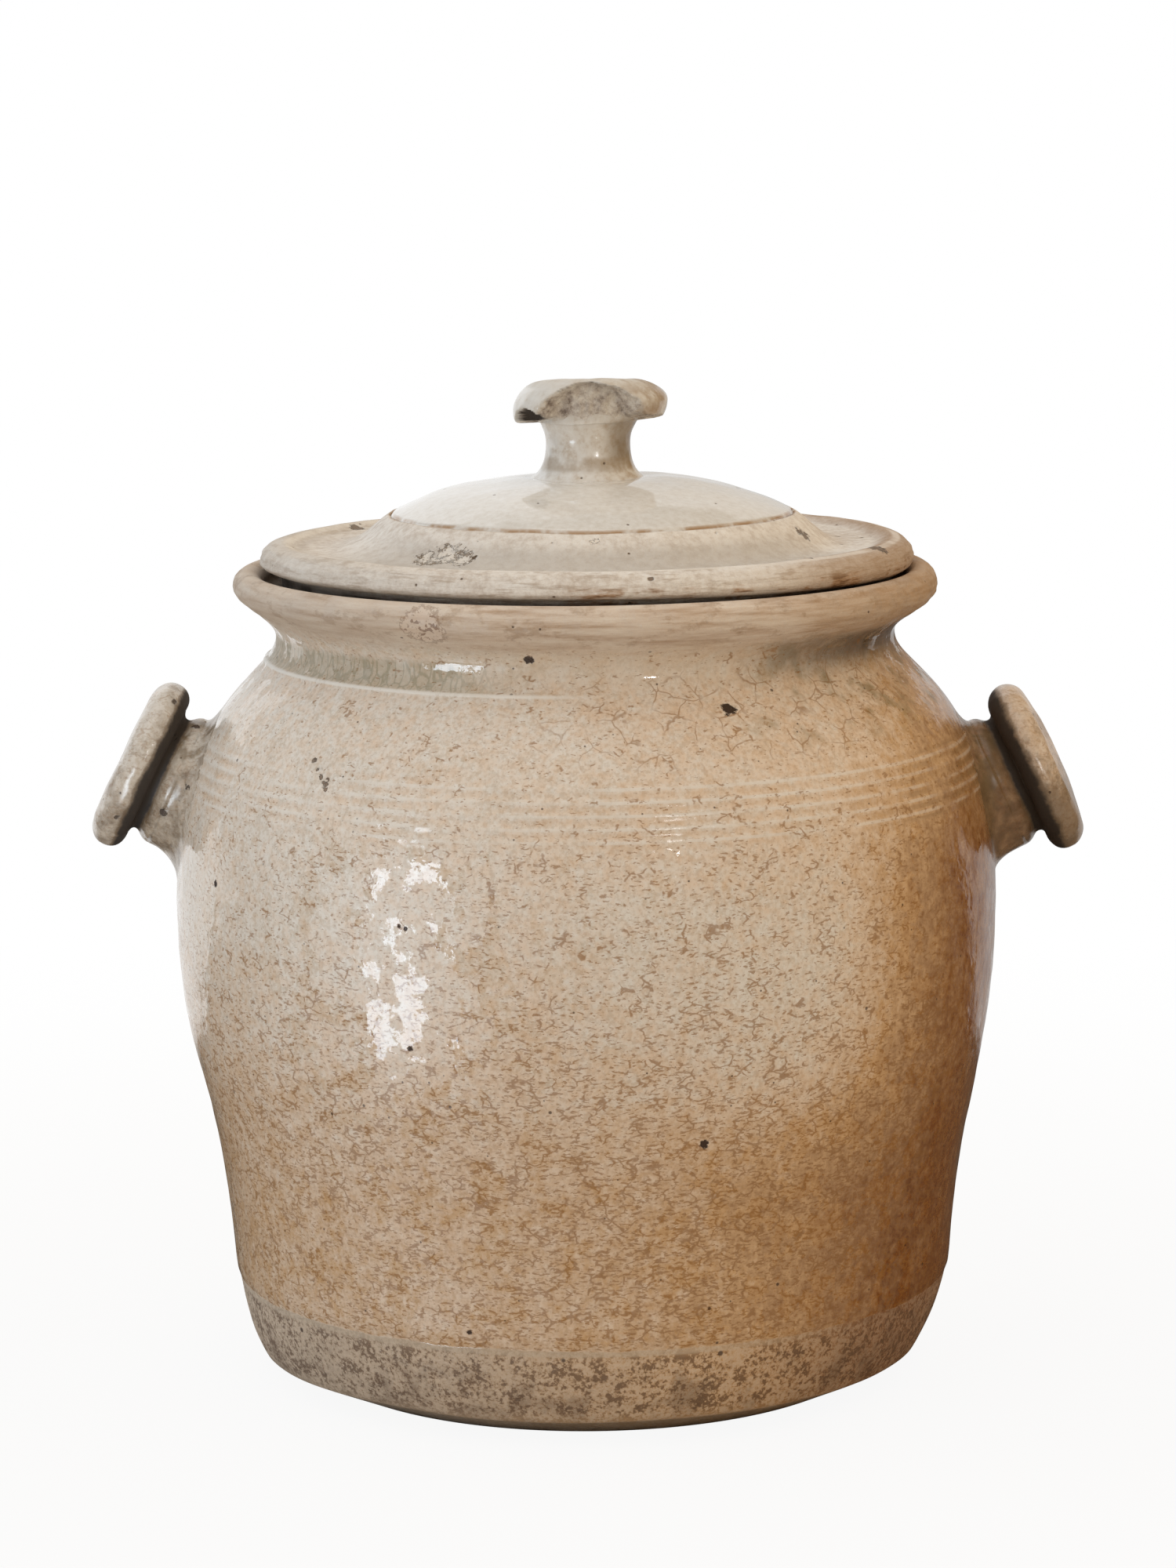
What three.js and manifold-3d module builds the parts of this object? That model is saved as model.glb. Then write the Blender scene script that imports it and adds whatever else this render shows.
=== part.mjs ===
// Stoneware confit pot: a thrown vessel with two luted lug handles, and a loose lid with a luted knob.
// Millimetres, +Z up. The origin is the centre of the base, and the lugs lie along X.
import * as THREE from 'three';
import { mergeVertices } from 'three/addons/utils/BufferGeometryUtils.js';
import Module from 'manifold-3d';

const wasm = await Module();
wasm.setup();

// Joints between fired pieces
const JOINT_GAP = 0.3;

// Vessel, outside: each rise is measured from the feature below it
const REST_RADIUS = 86.5;
const FOOT_RADIUS = 104;
const FOOT_BEVEL_HEIGHT = 7.5;
const HEEL_RADIUS = 113.5;
const HEEL_RISE = 30.5;
const HEEL_ROUND = 10;
const BELLY_RADIUS = 128;
const BELLY_RISE = 112;
const WAIST_STRAIGHT = 59;
const WAIST_LEAN = 4.4;
const BELLY_ROUND_BELOW = 52;
const BELLY_ROUND_ABOVE = 69;
const THROAT_RADIUS = 96.5;
const THROAT_RISE = 83.5;
const THROAT_ROUND_BELOW = 15;
const THROAT_ROUND_ABOVE = 5;
const LIP_RISE = 15.4;
const LIP_ROLL = 4.9;
const LIP_ROLL_START = THREE.MathUtils.degToRad(-26);

// Vessel, inside
const WALL = 9.5;
const FLOOR = 12;
const FLOOR_CORNER = 26;
const LEDGE_WIDTH = 9.5;
const LEDGE_DROP = 3.9;
const LIP_INNER_SLOPE = 3.3;

// Lug handles
const LUG_ROOT_RISE = 34;
const LUG_TILT = THREE.MathUtils.degToRad(24.5);
const LUG_STAND_OFF = 12;
const LUG_STALK_RADIUS = 20.5;
const LUG_STALK_DEPTH = 34;
const LUG_BUTTON_RADIUS = 27.6;
const LUG_BUTTON_THICKNESS = 11.4;
const LUG_GROOVE = 4.3;
const LUG_LUTING_EDGE = 0.9;
const LUG_LUTING_FLARE = 8;

// Lid
const LID_CLEARANCE = 2;
const LID_LIP_GAP = 0.8;
const LID_INSET = 8.7;
const LID_ROLL = 5.8;
const LID_FOOT_WIDTH = 9;
const LID_MOAT_WIDTH = 14;
const LID_MOAT_DROP = 1.9;
const LID_FLANK_WIDTH = 19.5;
const LID_FLANK_RISE = 10.4;
const LID_GROOVE_WIDTH = 1.6;
const LID_GROOVE_DEPTH = 0.8;
const LID_CROWN_RISE = 11;
const LID_CROWN_THICKNESS = 9.5;

// Knob
const KNOB_FOOT_RADIUS = 15;
const KNOB_FOOT_HEIGHT = 3;
const KNOB_NECK_RADIUS = 13;
const KNOB_NECK_RISE = 6;
const KNOB_CAP_RADIUS = 24;
const KNOB_CAP_RISE = 7.6;
const KNOB_CAP_THICKNESS = 12.9;
const KNOB_TOP_ROUND = 7;
const KNOB_EDGE_ROUND = 2.2;
const KNOB_LUTING_WIDTH = 5;

// Facets round each kind of turned piece, and steps along each curve of its outline
const VESSEL_FACETS = 56;
const LID_FACETS = 48;
const LUG_FACETS = 32;
const KNOB_FACETS = 28;
const CURVE_STEPS = 6;
const ARC_STEPS = 4;

// Heights and radii that follow from the sizes above
const heelHeight = FOOT_BEVEL_HEIGHT + HEEL_RISE;
const bellyHeight = heelHeight + BELLY_RISE;
const throatHeight = bellyHeight + THROAT_RISE;
const lipHeight = throatHeight + LIP_RISE;
const ledgeHeight = lipHeight - LEDGE_DROP;
const throatBore = THROAT_RADIUS - WALL;
const galleryRadius = throatBore + LEDGE_WIDTH;
const lipRadius = galleryRadius + LIP_INNER_SLOPE + LIP_ROLL;

// A point of an outline: distance from the axis, then height.
function at(radius, height) {
  return new THREE.Vector2(radius, height);
}

// Points along a cubic curve, without its first point, which the outline already has.
function curve(start, leave, arrive, end) {
  return new THREE.CubicBezierCurve(start, leave, arrive, end).getPoints(CURVE_STEPS).slice(1);
}

// Points along a circular arc, first point included.
function arc(centre, radius, from, to, steps = ARC_STEPS) {
  const turned = new THREE.EllipseCurve(centre.x, centre.y, radius, radius, from, to, to < from);
  return turned.getPoints(steps);
}

// A solid of revolution about +Z from an outline that runs anticlockwise.
function turned(outline, facets) {
  return new THREE.LatheGeometry(outline, facets).rotateX(Math.PI / 2);
}

// A closed geometry as a solid that can be cut.
function toSolid(geometry) {
  const bare = geometry.clone();
  bare.deleteAttribute('normal');
  bare.deleteAttribute('uv');
  const merged = mergeVertices(bare);
  return new wasm.Manifold(new wasm.Mesh({
    numProp: 3,
    vertProperties: new Float32Array(merged.attributes.position.array),
    triVerts: new Uint32Array(merged.index.array),
  }));
}

// A solid as a flat-shaded geometry.
function toGeometry(solid) {
  const mesh = solid.getMesh();
  const indexed = new THREE.BufferGeometry();
  indexed.setAttribute('position', new THREE.BufferAttribute(mesh.vertProperties, 3));
  indexed.setIndex(new THREE.BufferAttribute(mesh.triVerts, 1));
  const flat = indexed.toNonIndexed();
  flat.computeVertexNormals();
  return flat;
}

// The outside of the wall from the foot bevel up to the throat.
function wallOutline() {
  const foot = at(FOOT_RADIUS, FOOT_BEVEL_HEIGHT);
  const heel = at(HEEL_RADIUS, heelHeight);
  const belly = at(BELLY_RADIUS, bellyHeight);
  const throat = at(THROAT_RADIUS, throatHeight);
  const lean = at(WAIST_LEAN, WAIST_STRAIGHT);
  const rise = lean.clone().setLength(HEEL_ROUND);
  const bevelRise = at(FOOT_RADIUS - REST_RADIUS, FOOT_BEVEL_HEIGHT).setLength(HEEL_ROUND).lerp(rise, 0.5);
  return [
    foot,
    ...curve(foot, foot.clone().add(bevelRise), heel.clone().sub(rise), heel),
    ...curve(heel, heel.clone().add(lean), at(BELLY_RADIUS, bellyHeight - BELLY_ROUND_BELOW), belly),
    ...curve(
      belly,
      at(BELLY_RADIUS, bellyHeight + BELLY_ROUND_ABOVE),
      at(THROAT_RADIUS, throatHeight - THROAT_ROUND_BELOW),
      throat,
    ),
  ];
}

// The inside of the wall from the heel up to the throat, one wall thickness in from the outside.
function wallInside(outside) {
  const inside = [];
  for (let i = CURVE_STEPS; i < outside.length - 1; i += 1) {
    const along = outside[i + 1].clone().sub(outside[i - 1]).setLength(WALL);
    inside.push(at(outside[i].x - along.y, outside[i].y + along.x));
  }
  inside.push(at(throatBore, throatHeight));
  return inside;
}

// Radius of the outside of the wall at a height.
function wallRadius(height) {
  const outline = wallOutline();
  const above = outline.findIndex((point) => point.y > height);
  const low = outline[above - 1];
  const high = outline[above];
  return THREE.MathUtils.mapLinear(height, low.y, high.y, low.x, high.x);
}

// Thrown vessel: flat base, swelling wall, drawn-in throat, rolled lip and the ledge that carries the lid.
function vesselGeometry() {
  const outside = wallOutline();
  const inside = wallInside(outside);
  const throat = outside.at(-1);
  const lip = at(lipRadius, lipHeight);
  const roll = arc(lip, LIP_ROLL, LIP_ROLL_START, Math.PI, 2 * ARC_STEPS);
  const flare = at(-Math.sin(LIP_ROLL_START), Math.cos(LIP_ROLL_START)).multiplyScalar(LIP_ROLL);
  const heelInside = inside[0];
  const floorEdge = at(heelInside.x - FLOOR_CORNER, FLOOR);
  const corner = curve(heelInside, at(heelInside.x, FLOOR), at(heelInside.x, FLOOR), floorEdge);
  const outline = [
    at(0, 0),
    at(REST_RADIUS, 0),
    ...outside,
    ...curve(
      throat,
      at(THROAT_RADIUS, throatHeight + THROAT_ROUND_ABOVE),
      roll[0].clone().sub(flare),
      roll[0],
    ),
    ...roll.slice(1),
    at(galleryRadius, ledgeHeight),
    at(throatBore, ledgeHeight),
    ...inside.reverse(),
    ...corner,
    at(0, FLOOR),
  ];
  return turned(outline, VESSEL_FACETS);
}

// The filled vessel with a joint gap round it, which trims whatever is luted to the wall.
function wallTrimmer() {
  const grown = wallOutline().map((point) => at(point.x + JOINT_GAP, point.y));
  const outline = [at(0, FOOT_BEVEL_HEIGHT), ...grown, at(0, throatHeight)];
  return toSolid(turned(outline, VESSEL_FACETS));
}

// Turns a piece made along +Z on to the lug's axis, which leaves the wall at LUG_TILT above level.
function ontoLugAxis(geometry) {
  const rootHeight = bellyHeight + LUG_ROOT_RISE;
  return geometry.rotateY(Math.PI / 2 - LUG_TILT).translate(wallRadius(rootHeight), 0, rootHeight);
}

// Round stalk of a lug, trimmed to the wall.
function lugStalkGeometry() {
  const outline = [
    at(0, -LUG_STALK_DEPTH),
    at(LUG_STALK_RADIUS, -LUG_STALK_DEPTH),
    at(LUG_STALK_RADIUS, LUG_STAND_OFF),
    at(0, LUG_STAND_OFF),
  ];
  const stalk = ontoLugAxis(turned(outline, LUG_FACETS));
  return toGeometry(toSolid(stalk).subtract(wallTrimmer()));
}

// Flared coil of clay that lutes a stalk to the wall.
function lugLutingGeometry() {
  const bore = LUG_STALK_RADIUS + JOINT_GAP;
  const top = LUG_STAND_OFF - LUG_GROOVE;
  const edge = at(bore + LUG_LUTING_EDGE, top);
  const spread = at(edge.x + LUG_LUTING_FLARE, -top);
  const outline = [
    at(bore, -LUG_STALK_DEPTH),
    at(spread.x, -LUG_STALK_DEPTH),
    spread,
    ...curve(spread, at(edge.x + LUG_LUTING_FLARE / 2, 0), at(edge.x, top / 2), edge),
    at(bore, top),
    at(bore, -LUG_STALK_DEPTH),
  ];
  const coil = ontoLugAxis(turned(outline, LUG_FACETS));
  return toGeometry(toSolid(coil).subtract(wallTrimmer()));
}

// Round-edged button that closes a stalk and gives the fingers a grip.
function lugButtonGeometry() {
  const edge = LUG_BUTTON_THICKNESS / 2;
  const under = LUG_STAND_OFF + JOINT_GAP;
  const centre = at(LUG_BUTTON_RADIUS - edge, under + edge);
  const outline = [
    at(0, under),
    ...arc(centre, edge, -Math.PI / 2, Math.PI / 2, 2 * ARC_STEPS),
    at(0, under + LUG_BUTTON_THICKNESS),
  ];
  return ontoLugAxis(turned(outline, LUG_FACETS));
}

// Heights of the lid, built up from the ledge and from the lip that its rolled edge nests in.
const lidSeat = ledgeHeight + JOINT_GAP;
const lidSeatRadius = galleryRadius - LID_CLEARANCE;
const lidRollRadius = lipRadius - LID_INSET;
const rollReach = LIP_ROLL + LID_ROLL + LID_LIP_GAP;
const lidRollHeight = lipHeight + Math.sqrt(rollReach ** 2 - LID_INSET ** 2);
const moatRadius = lidRollRadius - LID_MOAT_WIDTH;
const moatHeight = lidRollHeight + LID_ROLL - LID_MOAT_DROP;
const grooveRadius = moatRadius - LID_FLANK_WIDTH;
const grooveHeight = moatHeight + LID_FLANK_RISE;
const crownHeight = grooveHeight + LID_CROWN_RISE;
const crownRadius = KNOB_FOOT_RADIUS + JOINT_GAP + KNOB_LUTING_WIDTH;

// Thrown lid: foot ring, hollow underside, rolled edge, shallow moat, turned groove and domed crown.
function lidGeometry() {
  const roll = arc(at(lidRollRadius, lidRollHeight), LID_ROLL, -Math.PI / 2, Math.PI / 2, 2 * ARC_STEPS);
  const crest = roll.at(-1);
  const moat = at(moatRadius, moatHeight);
  const grooveOuter = at(grooveRadius + LID_GROOVE_WIDTH / 2, grooveHeight - LID_GROOVE_DEPTH / 2);
  const grooveFloor = at(grooveRadius, grooveHeight - LID_GROOVE_DEPTH);
  const grooveInner = at(grooveRadius - LID_GROOVE_WIDTH / 2, grooveHeight + LID_GROOVE_DEPTH / 2);
  const crown = at(crownRadius, crownHeight);
  const footInner = at(lidSeatRadius - LID_FOOT_WIDTH, lidSeat);
  const hollow = at(0, crownHeight - LID_CROWN_THICKNESS);
  const hollowRise = hollow.y - lidSeat;
  const outline = [
    hollow,
    ...curve(
      hollow,
      at(footInner.x / 2, hollow.y),
      at(footInner.x - hollowRise / 3, lidSeat + hollowRise / 2.5),
      footInner,
    ),
    at(lidSeatRadius, lidSeat),
    ...roll,
    ...curve(
      crest,
      at(crest.x - LID_MOAT_WIDTH / 2, crest.y),
      at(moat.x + LID_MOAT_WIDTH / 2, moat.y),
      moat,
    ),
    ...curve(
      moat,
      at(moat.x - LID_FLANK_WIDTH / 2, moat.y),
      at(grooveOuter.x + LID_FLANK_WIDTH / 4, grooveOuter.y - LID_FLANK_RISE / 4),
      grooveOuter,
    ),
    grooveFloor,
    grooveInner,
    ...curve(
      grooveInner,
      at(grooveInner.x - LID_CROWN_RISE, grooveInner.y + LID_CROWN_RISE / 2),
      at(crown.x + LID_CROWN_RISE, crown.y),
      crown,
    ),
    at(0, crownHeight),
  ];
  return turned(outline, LID_FACETS);
}

// Thrown knob: round foot, drawn-in neck and an overhanging cap with a flat top.
function knobGeometry() {
  const foot = at(KNOB_FOOT_RADIUS, crownHeight + JOINT_GAP + KNOB_FOOT_HEIGHT);
  const neck = at(KNOB_NECK_RADIUS, foot.y + KNOB_NECK_RISE);
  const hollow = at(neck.x, foot.y + KNOB_NECK_RISE / 2);
  const capUnder = neck.y + KNOB_CAP_RISE;
  const capTop = capUnder + KNOB_CAP_THICKNESS;
  const edge = at(KNOB_CAP_RADIUS - KNOB_EDGE_ROUND, capUnder + KNOB_EDGE_ROUND);
  const shoulder = at(KNOB_CAP_RADIUS - KNOB_TOP_ROUND, capTop - KNOB_TOP_ROUND);
  const under = at(edge.x, capUnder);
  const outline = [
    at(0, crownHeight + JOINT_GAP),
    at(KNOB_FOOT_RADIUS, crownHeight + JOINT_GAP),
    foot,
    ...curve(foot, hollow, hollow, neck),
    ...curve(neck, at(neck.x, capUnder), at(neck.x, capUnder), under),
    ...arc(edge, KNOB_EDGE_ROUND, -Math.PI / 2, 0).slice(1),
    ...arc(shoulder, KNOB_TOP_ROUND, 0, Math.PI / 2),
    at(0, capTop),
  ];
  return turned(outline, KNOB_FACETS);
}

// Small coil of clay that lutes the knob's foot to the crown.
function knobLutingGeometry() {
  const bore = KNOB_FOOT_RADIUS + JOINT_GAP;
  const base = crownHeight + JOINT_GAP;
  const spread = at(bore + KNOB_LUTING_WIDTH, base);
  const top = at(bore + LUG_LUTING_EDGE, base + KNOB_FOOT_HEIGHT);
  const outline = [
    at(bore, base),
    spread,
    ...curve(spread, at(top.x, base), at(top.x, base), top),
    at(bore, top.y),
    at(bore, base),
  ];
  return turned(outline, KNOB_FACETS);
}

// Finishes: glossy salt glaze on pot and lugs, drier lid, satin knob, matt luting clay.
const potGlaze = new THREE.MeshStandardMaterial({ color: 0xb09a80, roughness: 0.3, metalness: 0 });
const lugGlaze = new THREE.MeshStandardMaterial({ color: 0xa39787, roughness: 0.32, metalness: 0 });
const lutingClay = new THREE.MeshStandardMaterial({ color: 0x9c8a72, roughness: 0.45, metalness: 0 });
const lidSlip = new THREE.MeshStandardMaterial({ color: 0xb3a592, roughness: 0.6, metalness: 0 });
const knobGlaze = new THREE.MeshStandardMaterial({ color: 0xa79c8d, roughness: 0.4, metalness: 0 });

function named(name, geometry, material) {
  const mesh = new THREE.Mesh(geometry, material);
  mesh.name = name;
  return mesh;
}

const vessel = new THREE.Group();
vessel.add(named('pot_body', vesselGeometry(), potGlaze));

const stalkGeometry = lugStalkGeometry();
const lutingGeometry = lugLutingGeometry();
const buttonGeometry = lugButtonGeometry();
const lugTurns = { right: 0, left: Math.PI };
for (const [side, turn] of Object.entries(lugTurns)) {
  const lug = new THREE.Group();
  lug.rotation.z = turn;
  lug.add(
    named(`${side}_lug_stalk`, stalkGeometry, lugGlaze),
    named(`${side}_lug_luting`, lutingGeometry, lutingClay),
    named(`${side}_lug_button`, buttonGeometry, lugGlaze),
  );
  vessel.add(lug);
}

const lid = new THREE.Group();
lid.add(
  named('lid_plate', lidGeometry(), lidSlip),
  named('lid_knob', knobGeometry(), knobGlaze),
  named('lid_knob_luting', knobLutingGeometry(), lutingClay),
);

const confitPot = new THREE.Group();
confitPot.name = 'stoneware_confit_pot';
confitPot.add(vessel, lid);

export default confitPot;
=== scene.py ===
"""Looks of a salt-glazed stoneware confit pot with a loose lid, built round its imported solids."""

import logging
import math
from bisect import bisect_left
from dataclasses import dataclass, field
from enum import Enum
from typing import Any, Union

import bmesh
import bpy
from mathutils import Matrix, Vector, noise
from mathutils.geometry import interpolate_bezier


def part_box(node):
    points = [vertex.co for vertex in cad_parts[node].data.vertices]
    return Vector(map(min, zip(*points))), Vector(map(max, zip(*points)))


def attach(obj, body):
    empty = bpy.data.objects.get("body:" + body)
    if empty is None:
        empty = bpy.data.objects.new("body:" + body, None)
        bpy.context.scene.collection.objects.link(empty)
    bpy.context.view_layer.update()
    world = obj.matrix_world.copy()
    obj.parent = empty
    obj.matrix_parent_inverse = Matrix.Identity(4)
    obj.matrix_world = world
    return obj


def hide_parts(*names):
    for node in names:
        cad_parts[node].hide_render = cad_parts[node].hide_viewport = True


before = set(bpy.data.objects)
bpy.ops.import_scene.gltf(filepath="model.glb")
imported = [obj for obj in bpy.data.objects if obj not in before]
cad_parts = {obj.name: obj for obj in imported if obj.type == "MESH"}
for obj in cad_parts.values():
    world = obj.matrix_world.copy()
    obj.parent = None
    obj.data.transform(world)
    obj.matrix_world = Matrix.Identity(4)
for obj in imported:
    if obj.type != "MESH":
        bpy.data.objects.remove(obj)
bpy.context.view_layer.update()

LOG = logging.getLogger("confit_pot")
Colour = tuple[float, float, float]
Palette = tuple[Colour, ...]
Feed = Union["Wire", float, int, tuple]
UP = Vector((0.0, 0.0, 1.0))
BLACK: Colour = (0.0, 0.0, 0.0)
WHITE: Colour = (1.0, 1.0, 1.0)
IRON: Colour = (0.055, 0.026, 0.010)
TINY = 1e-6


def smooth(value: float, low: float, high: float) -> float:
    """Ease from 0 at low to 1 at high.

    Args:
        value: Number to place between the two ends.
        low: Where the step starts.
        high: Where the step is done; it may lie below low.

    Returns:
        A share from 0 to 1.
    """
    share = min(max((value - low) / (high - low), 0.0), 1.0)
    return share * share * (3.0 - 2.0 * share)


def hump(value: float, centre: float, reach: float) -> float:
    """Bell-shaped share, 1 at the centre and near 0 at two reaches from it."""
    return math.exp(-((value - centre) / reach) ** 2)


def unevenness(point: Vector, size: float, shift: float = 0.0) -> float:
    """Soft noise from about -1 to 1 with features of the given size, in metres."""
    return noise.noise(point / size + Vector((shift, 1.7 * shift, 0.6 * shift)))


@dataclass(frozen=True)
class Mark:
    """A spot on a surface.

    Attributes:
        place: Centre of the spot, in metres.
        reach: Half its width, in metres.
    """

    place: tuple[float, float, float]
    reach: float


@dataclass(frozen=True)
class Lumps:
    """Unevenness that hands leave in clay.

    Attributes:
        coarse: Height, size and shift of the coarse lumps.
        fine: Height, size and shift of the fine lumps.
    """

    coarse: tuple[float, float, float]
    fine: tuple[float, float, float]

    def at(self, point: Vector) -> float:
        """Height of the surface at a point, in metres."""
        layers = (self.coarse, self.fine)
        return sum(height * unevenness(point, size, shift) for height, size, shift in layers)


@dataclass(frozen=True)
class Bite:
    """A broken-out hollow, bounded by an ellipsoid.

    Attributes:
        centre: Middle of the ellipsoid, from the turned piece's axis.
        half: Half-sizes of the ellipsoid.
    """

    centre: tuple[float, float, float]
    half: tuple[float, float, float]

    def limit(self, direction: Vector, height: float) -> float | None:
        """Radius at which the bite starts, going out from the axis.

        Args:
            direction: Level unit direction from the axis.
            height: Height at which to look.

        Returns:
            The radius, or None where the bite isn't met.
        """
        slope = [direction[i] / self.half[i] for i in range(2)]
        start = [-self.centre[i] / self.half[i] for i in range(2)]
        level = (height - self.centre[2]) / self.half[2]
        a = slope[0] ** 2 + slope[1] ** 2
        b = slope[0] * start[0] + slope[1] * start[1]
        c = start[0] ** 2 + start[1] ** 2 + level ** 2 - 1.0
        under_root = b * b - a * c
        if under_root < 0.0:
            return None
        radius = (-b - math.sqrt(under_root)) / a
        return radius if radius > 0.0 else None


class Outline:
    """Section of a turned piece, drawn from corner to corner in the XZ plane.

    Attributes:
        points: Corners drawn so far.
    """

    def __init__(self, radius: float, height: float) -> None:
        """Start the section at a radius and a height."""
        self.points: list[Vector] = [Vector((radius, 0.0, height))]

    def line(self, radius: float, height: float, steps: int = 1) -> "Outline":
        """Draw a straight stretch.

        Args:
            radius: Radius of its end.
            height: Height of its end.
            steps: Stretches that it is cut into.

        Returns:
            The outline itself.
        """
        start, end = self.points[-1], Vector((radius, 0.0, height))
        self.points += [start.lerp(end, (i + 1) / steps) for i in range(steps)]
        return self

    def curve(self, leave: tuple[float, float], arrive: tuple[float, float],
              end: tuple[float, float], steps: int) -> "Outline":
        """Draw a cubic curve.

        Args:
            leave: Radius and height that the curve sets out for.
            arrive: Radius and height that it comes in from.
            end: Radius and height of its end.
            steps: Stretches that it is cut into.

        Returns:
            The outline itself.
        """
        knots = [Vector((r, 0.0, z)) for r, z in (leave, arrive, end)]
        self.points += interpolate_bezier(self.points[-1], *knots, steps + 1)[1:]
        return self

    def arc(self, centre: tuple[float, float], radius: float, start: float, end: float,
            steps: int) -> "Outline":
        """Draw a round stretch.

        Args:
            centre: Radius and height of the arc's centre.
            radius: Radius of the arc.
            start: Angle of its first point, from level outwards, in radians.
            end: Angle of its last point.
            steps: Stretches that it is cut into.

        Returns:
            The outline itself.
        """
        for i in range(steps + 1):
            angle = start + (end - start) * i / steps
            self.points.append(Vector((
                centre[0] + radius * math.cos(angle), 0.0, centre[1] + radius * math.sin(angle))))
        return self

    def spun(self, segments: int) -> bmesh.types.BMesh:
        """Turn the section round Z into a closed skin.

        Args:
            segments: Steps round the full turn.

        Returns:
            The skin, with its faces outwards and in an order that is the same in each run.
        """
        skin = bmesh.new()
        ring = [skin.verts.new(point) for point in self.points]
        edges = [skin.edges.new(pair) for pair in zip(ring, ring[1:])]
        bmesh.ops.spin(skin, geom=ring + edges, cent=(0.0, 0.0, 0.0), axis=UP,
                       angle=math.tau, steps=segments, use_merge=True)
        bmesh.ops.remove_doubles(skin, verts=skin.verts, dist=TINY)
        bmesh.ops.recalc_face_normals(skin, faces=skin.faces)
        skin.verts.index_update()
        in_order = sorted(skin.faces, key=lambda face: sorted(vert.index for vert in face.verts))
        for place, face in enumerate(in_order):
            face.index = place
        skin.faces.sort()
        return skin


def to_object(skin: bmesh.types.BMesh, name: str) -> bpy.types.Object:
    """Make a smooth-shaded object of a finished skin.

    Args:
        skin: Mesh in the part's frame; it is freed.
        name: Name of the new piece.

    Returns:
        The piece, linked to the scene.
    """
    for face in skin.faces:
        face.smooth = True
    mesh = bpy.data.meshes.new(name)
    skin.to_mesh(mesh)
    skin.free()
    piece = bpy.data.objects.new(name, mesh)
    bpy.context.scene.collection.objects.link(piece)
    return piece


def settle(skin: bmesh.types.BMesh, name: str, material: bpy.types.Material, body: str,
           slot: str, *nodes: str) -> None:
    """Make a dressed piece, tie it to its body, and hide the nodes that it stands for.

    Args:
        skin: Finished mesh in the part's frame.
        name: Name of the new piece.
        material: Its finish.
        body: Body that it moves with.
        slot: Material slot of the record; not used.
        *nodes: Nodes that it replaces.
    """
    piece = to_object(skin, name)
    piece.data.materials.append(material)
    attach(piece, body)
    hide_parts(*nodes)
    LOG.info("%s: %d faces, rides on %s", piece.name, len(piece.data.polygons), body)


class Wire:
    """A shader socket that takes part in Python arithmetic.

    Attributes:
        bench: Bench that the socket's node stands on.
        socket: Output socket that the wire comes from.
    """

    def __init__(self, bench: "Bench", socket: bpy.types.NodeSocket) -> None:
        """Hold an output socket of a node on a bench."""
        self.bench = bench
        self.socket = socket

    def math(self, operation: str, other: Feed = 0.0, reflected: bool = False) -> "Wire":
        """Add a Math node.

        Args:
            operation: The node's operation.
            other: The second value.
            reflected: True if the second value comes first.

        Returns:
            The node's result.
        """
        pair = (other, self) if reflected else (self, other)
        return self.bench.node("ShaderNodeMath", {"operation": operation}, dict(enumerate(pair)))

    def __add__(self, other: Feed) -> "Wire":
        """Sum of two values."""
        return self.math("ADD", other)

    def __radd__(self, other: Feed) -> "Wire":
        """Sum of two values, reflected."""
        return self.math("ADD", other, True)

    def __sub__(self, other: Feed) -> "Wire":
        """Difference of two values."""
        return self.math("SUBTRACT", other)

    def __rsub__(self, other: Feed) -> "Wire":
        """Difference of two values, reflected."""
        return self.math("SUBTRACT", other, True)

    def __mul__(self, other: Feed) -> "Wire":
        """Product of two values."""
        return self.math("MULTIPLY", other)

    def __rmul__(self, other: Feed) -> "Wire":
        """Product of two values, reflected."""
        return self.math("MULTIPLY", other, True)

    def __truediv__(self, other: Feed) -> "Wire":
        """Quotient of two values."""
        return self.math("DIVIDE", other)

    def step(self, low: float, high: float) -> "Wire":
        """Ease from 0 at low to 1 at high, where high may lie below low."""
        return self.bench.node("ShaderNodeMapRange", {"interpolation_type": "SMOOTHSTEP"},
                               {"Value": self, "From Min": low, "From Max": high})

    def band(self, centre: float, core: float, fade: float) -> "Wire":
        """1 within core of a centre, easing to 0 over fade."""
        return (self - centre).math("ABSOLUTE").step(core + fade, core)

    def most(self, other: Feed) -> "Wire":
        """Larger of two values."""
        return self.math("MAXIMUM", other)

    def output(self, name: str | int) -> "Wire":
        """Another output of the same node."""
        return Wire(self.bench, self.socket.node.outputs[name])


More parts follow.
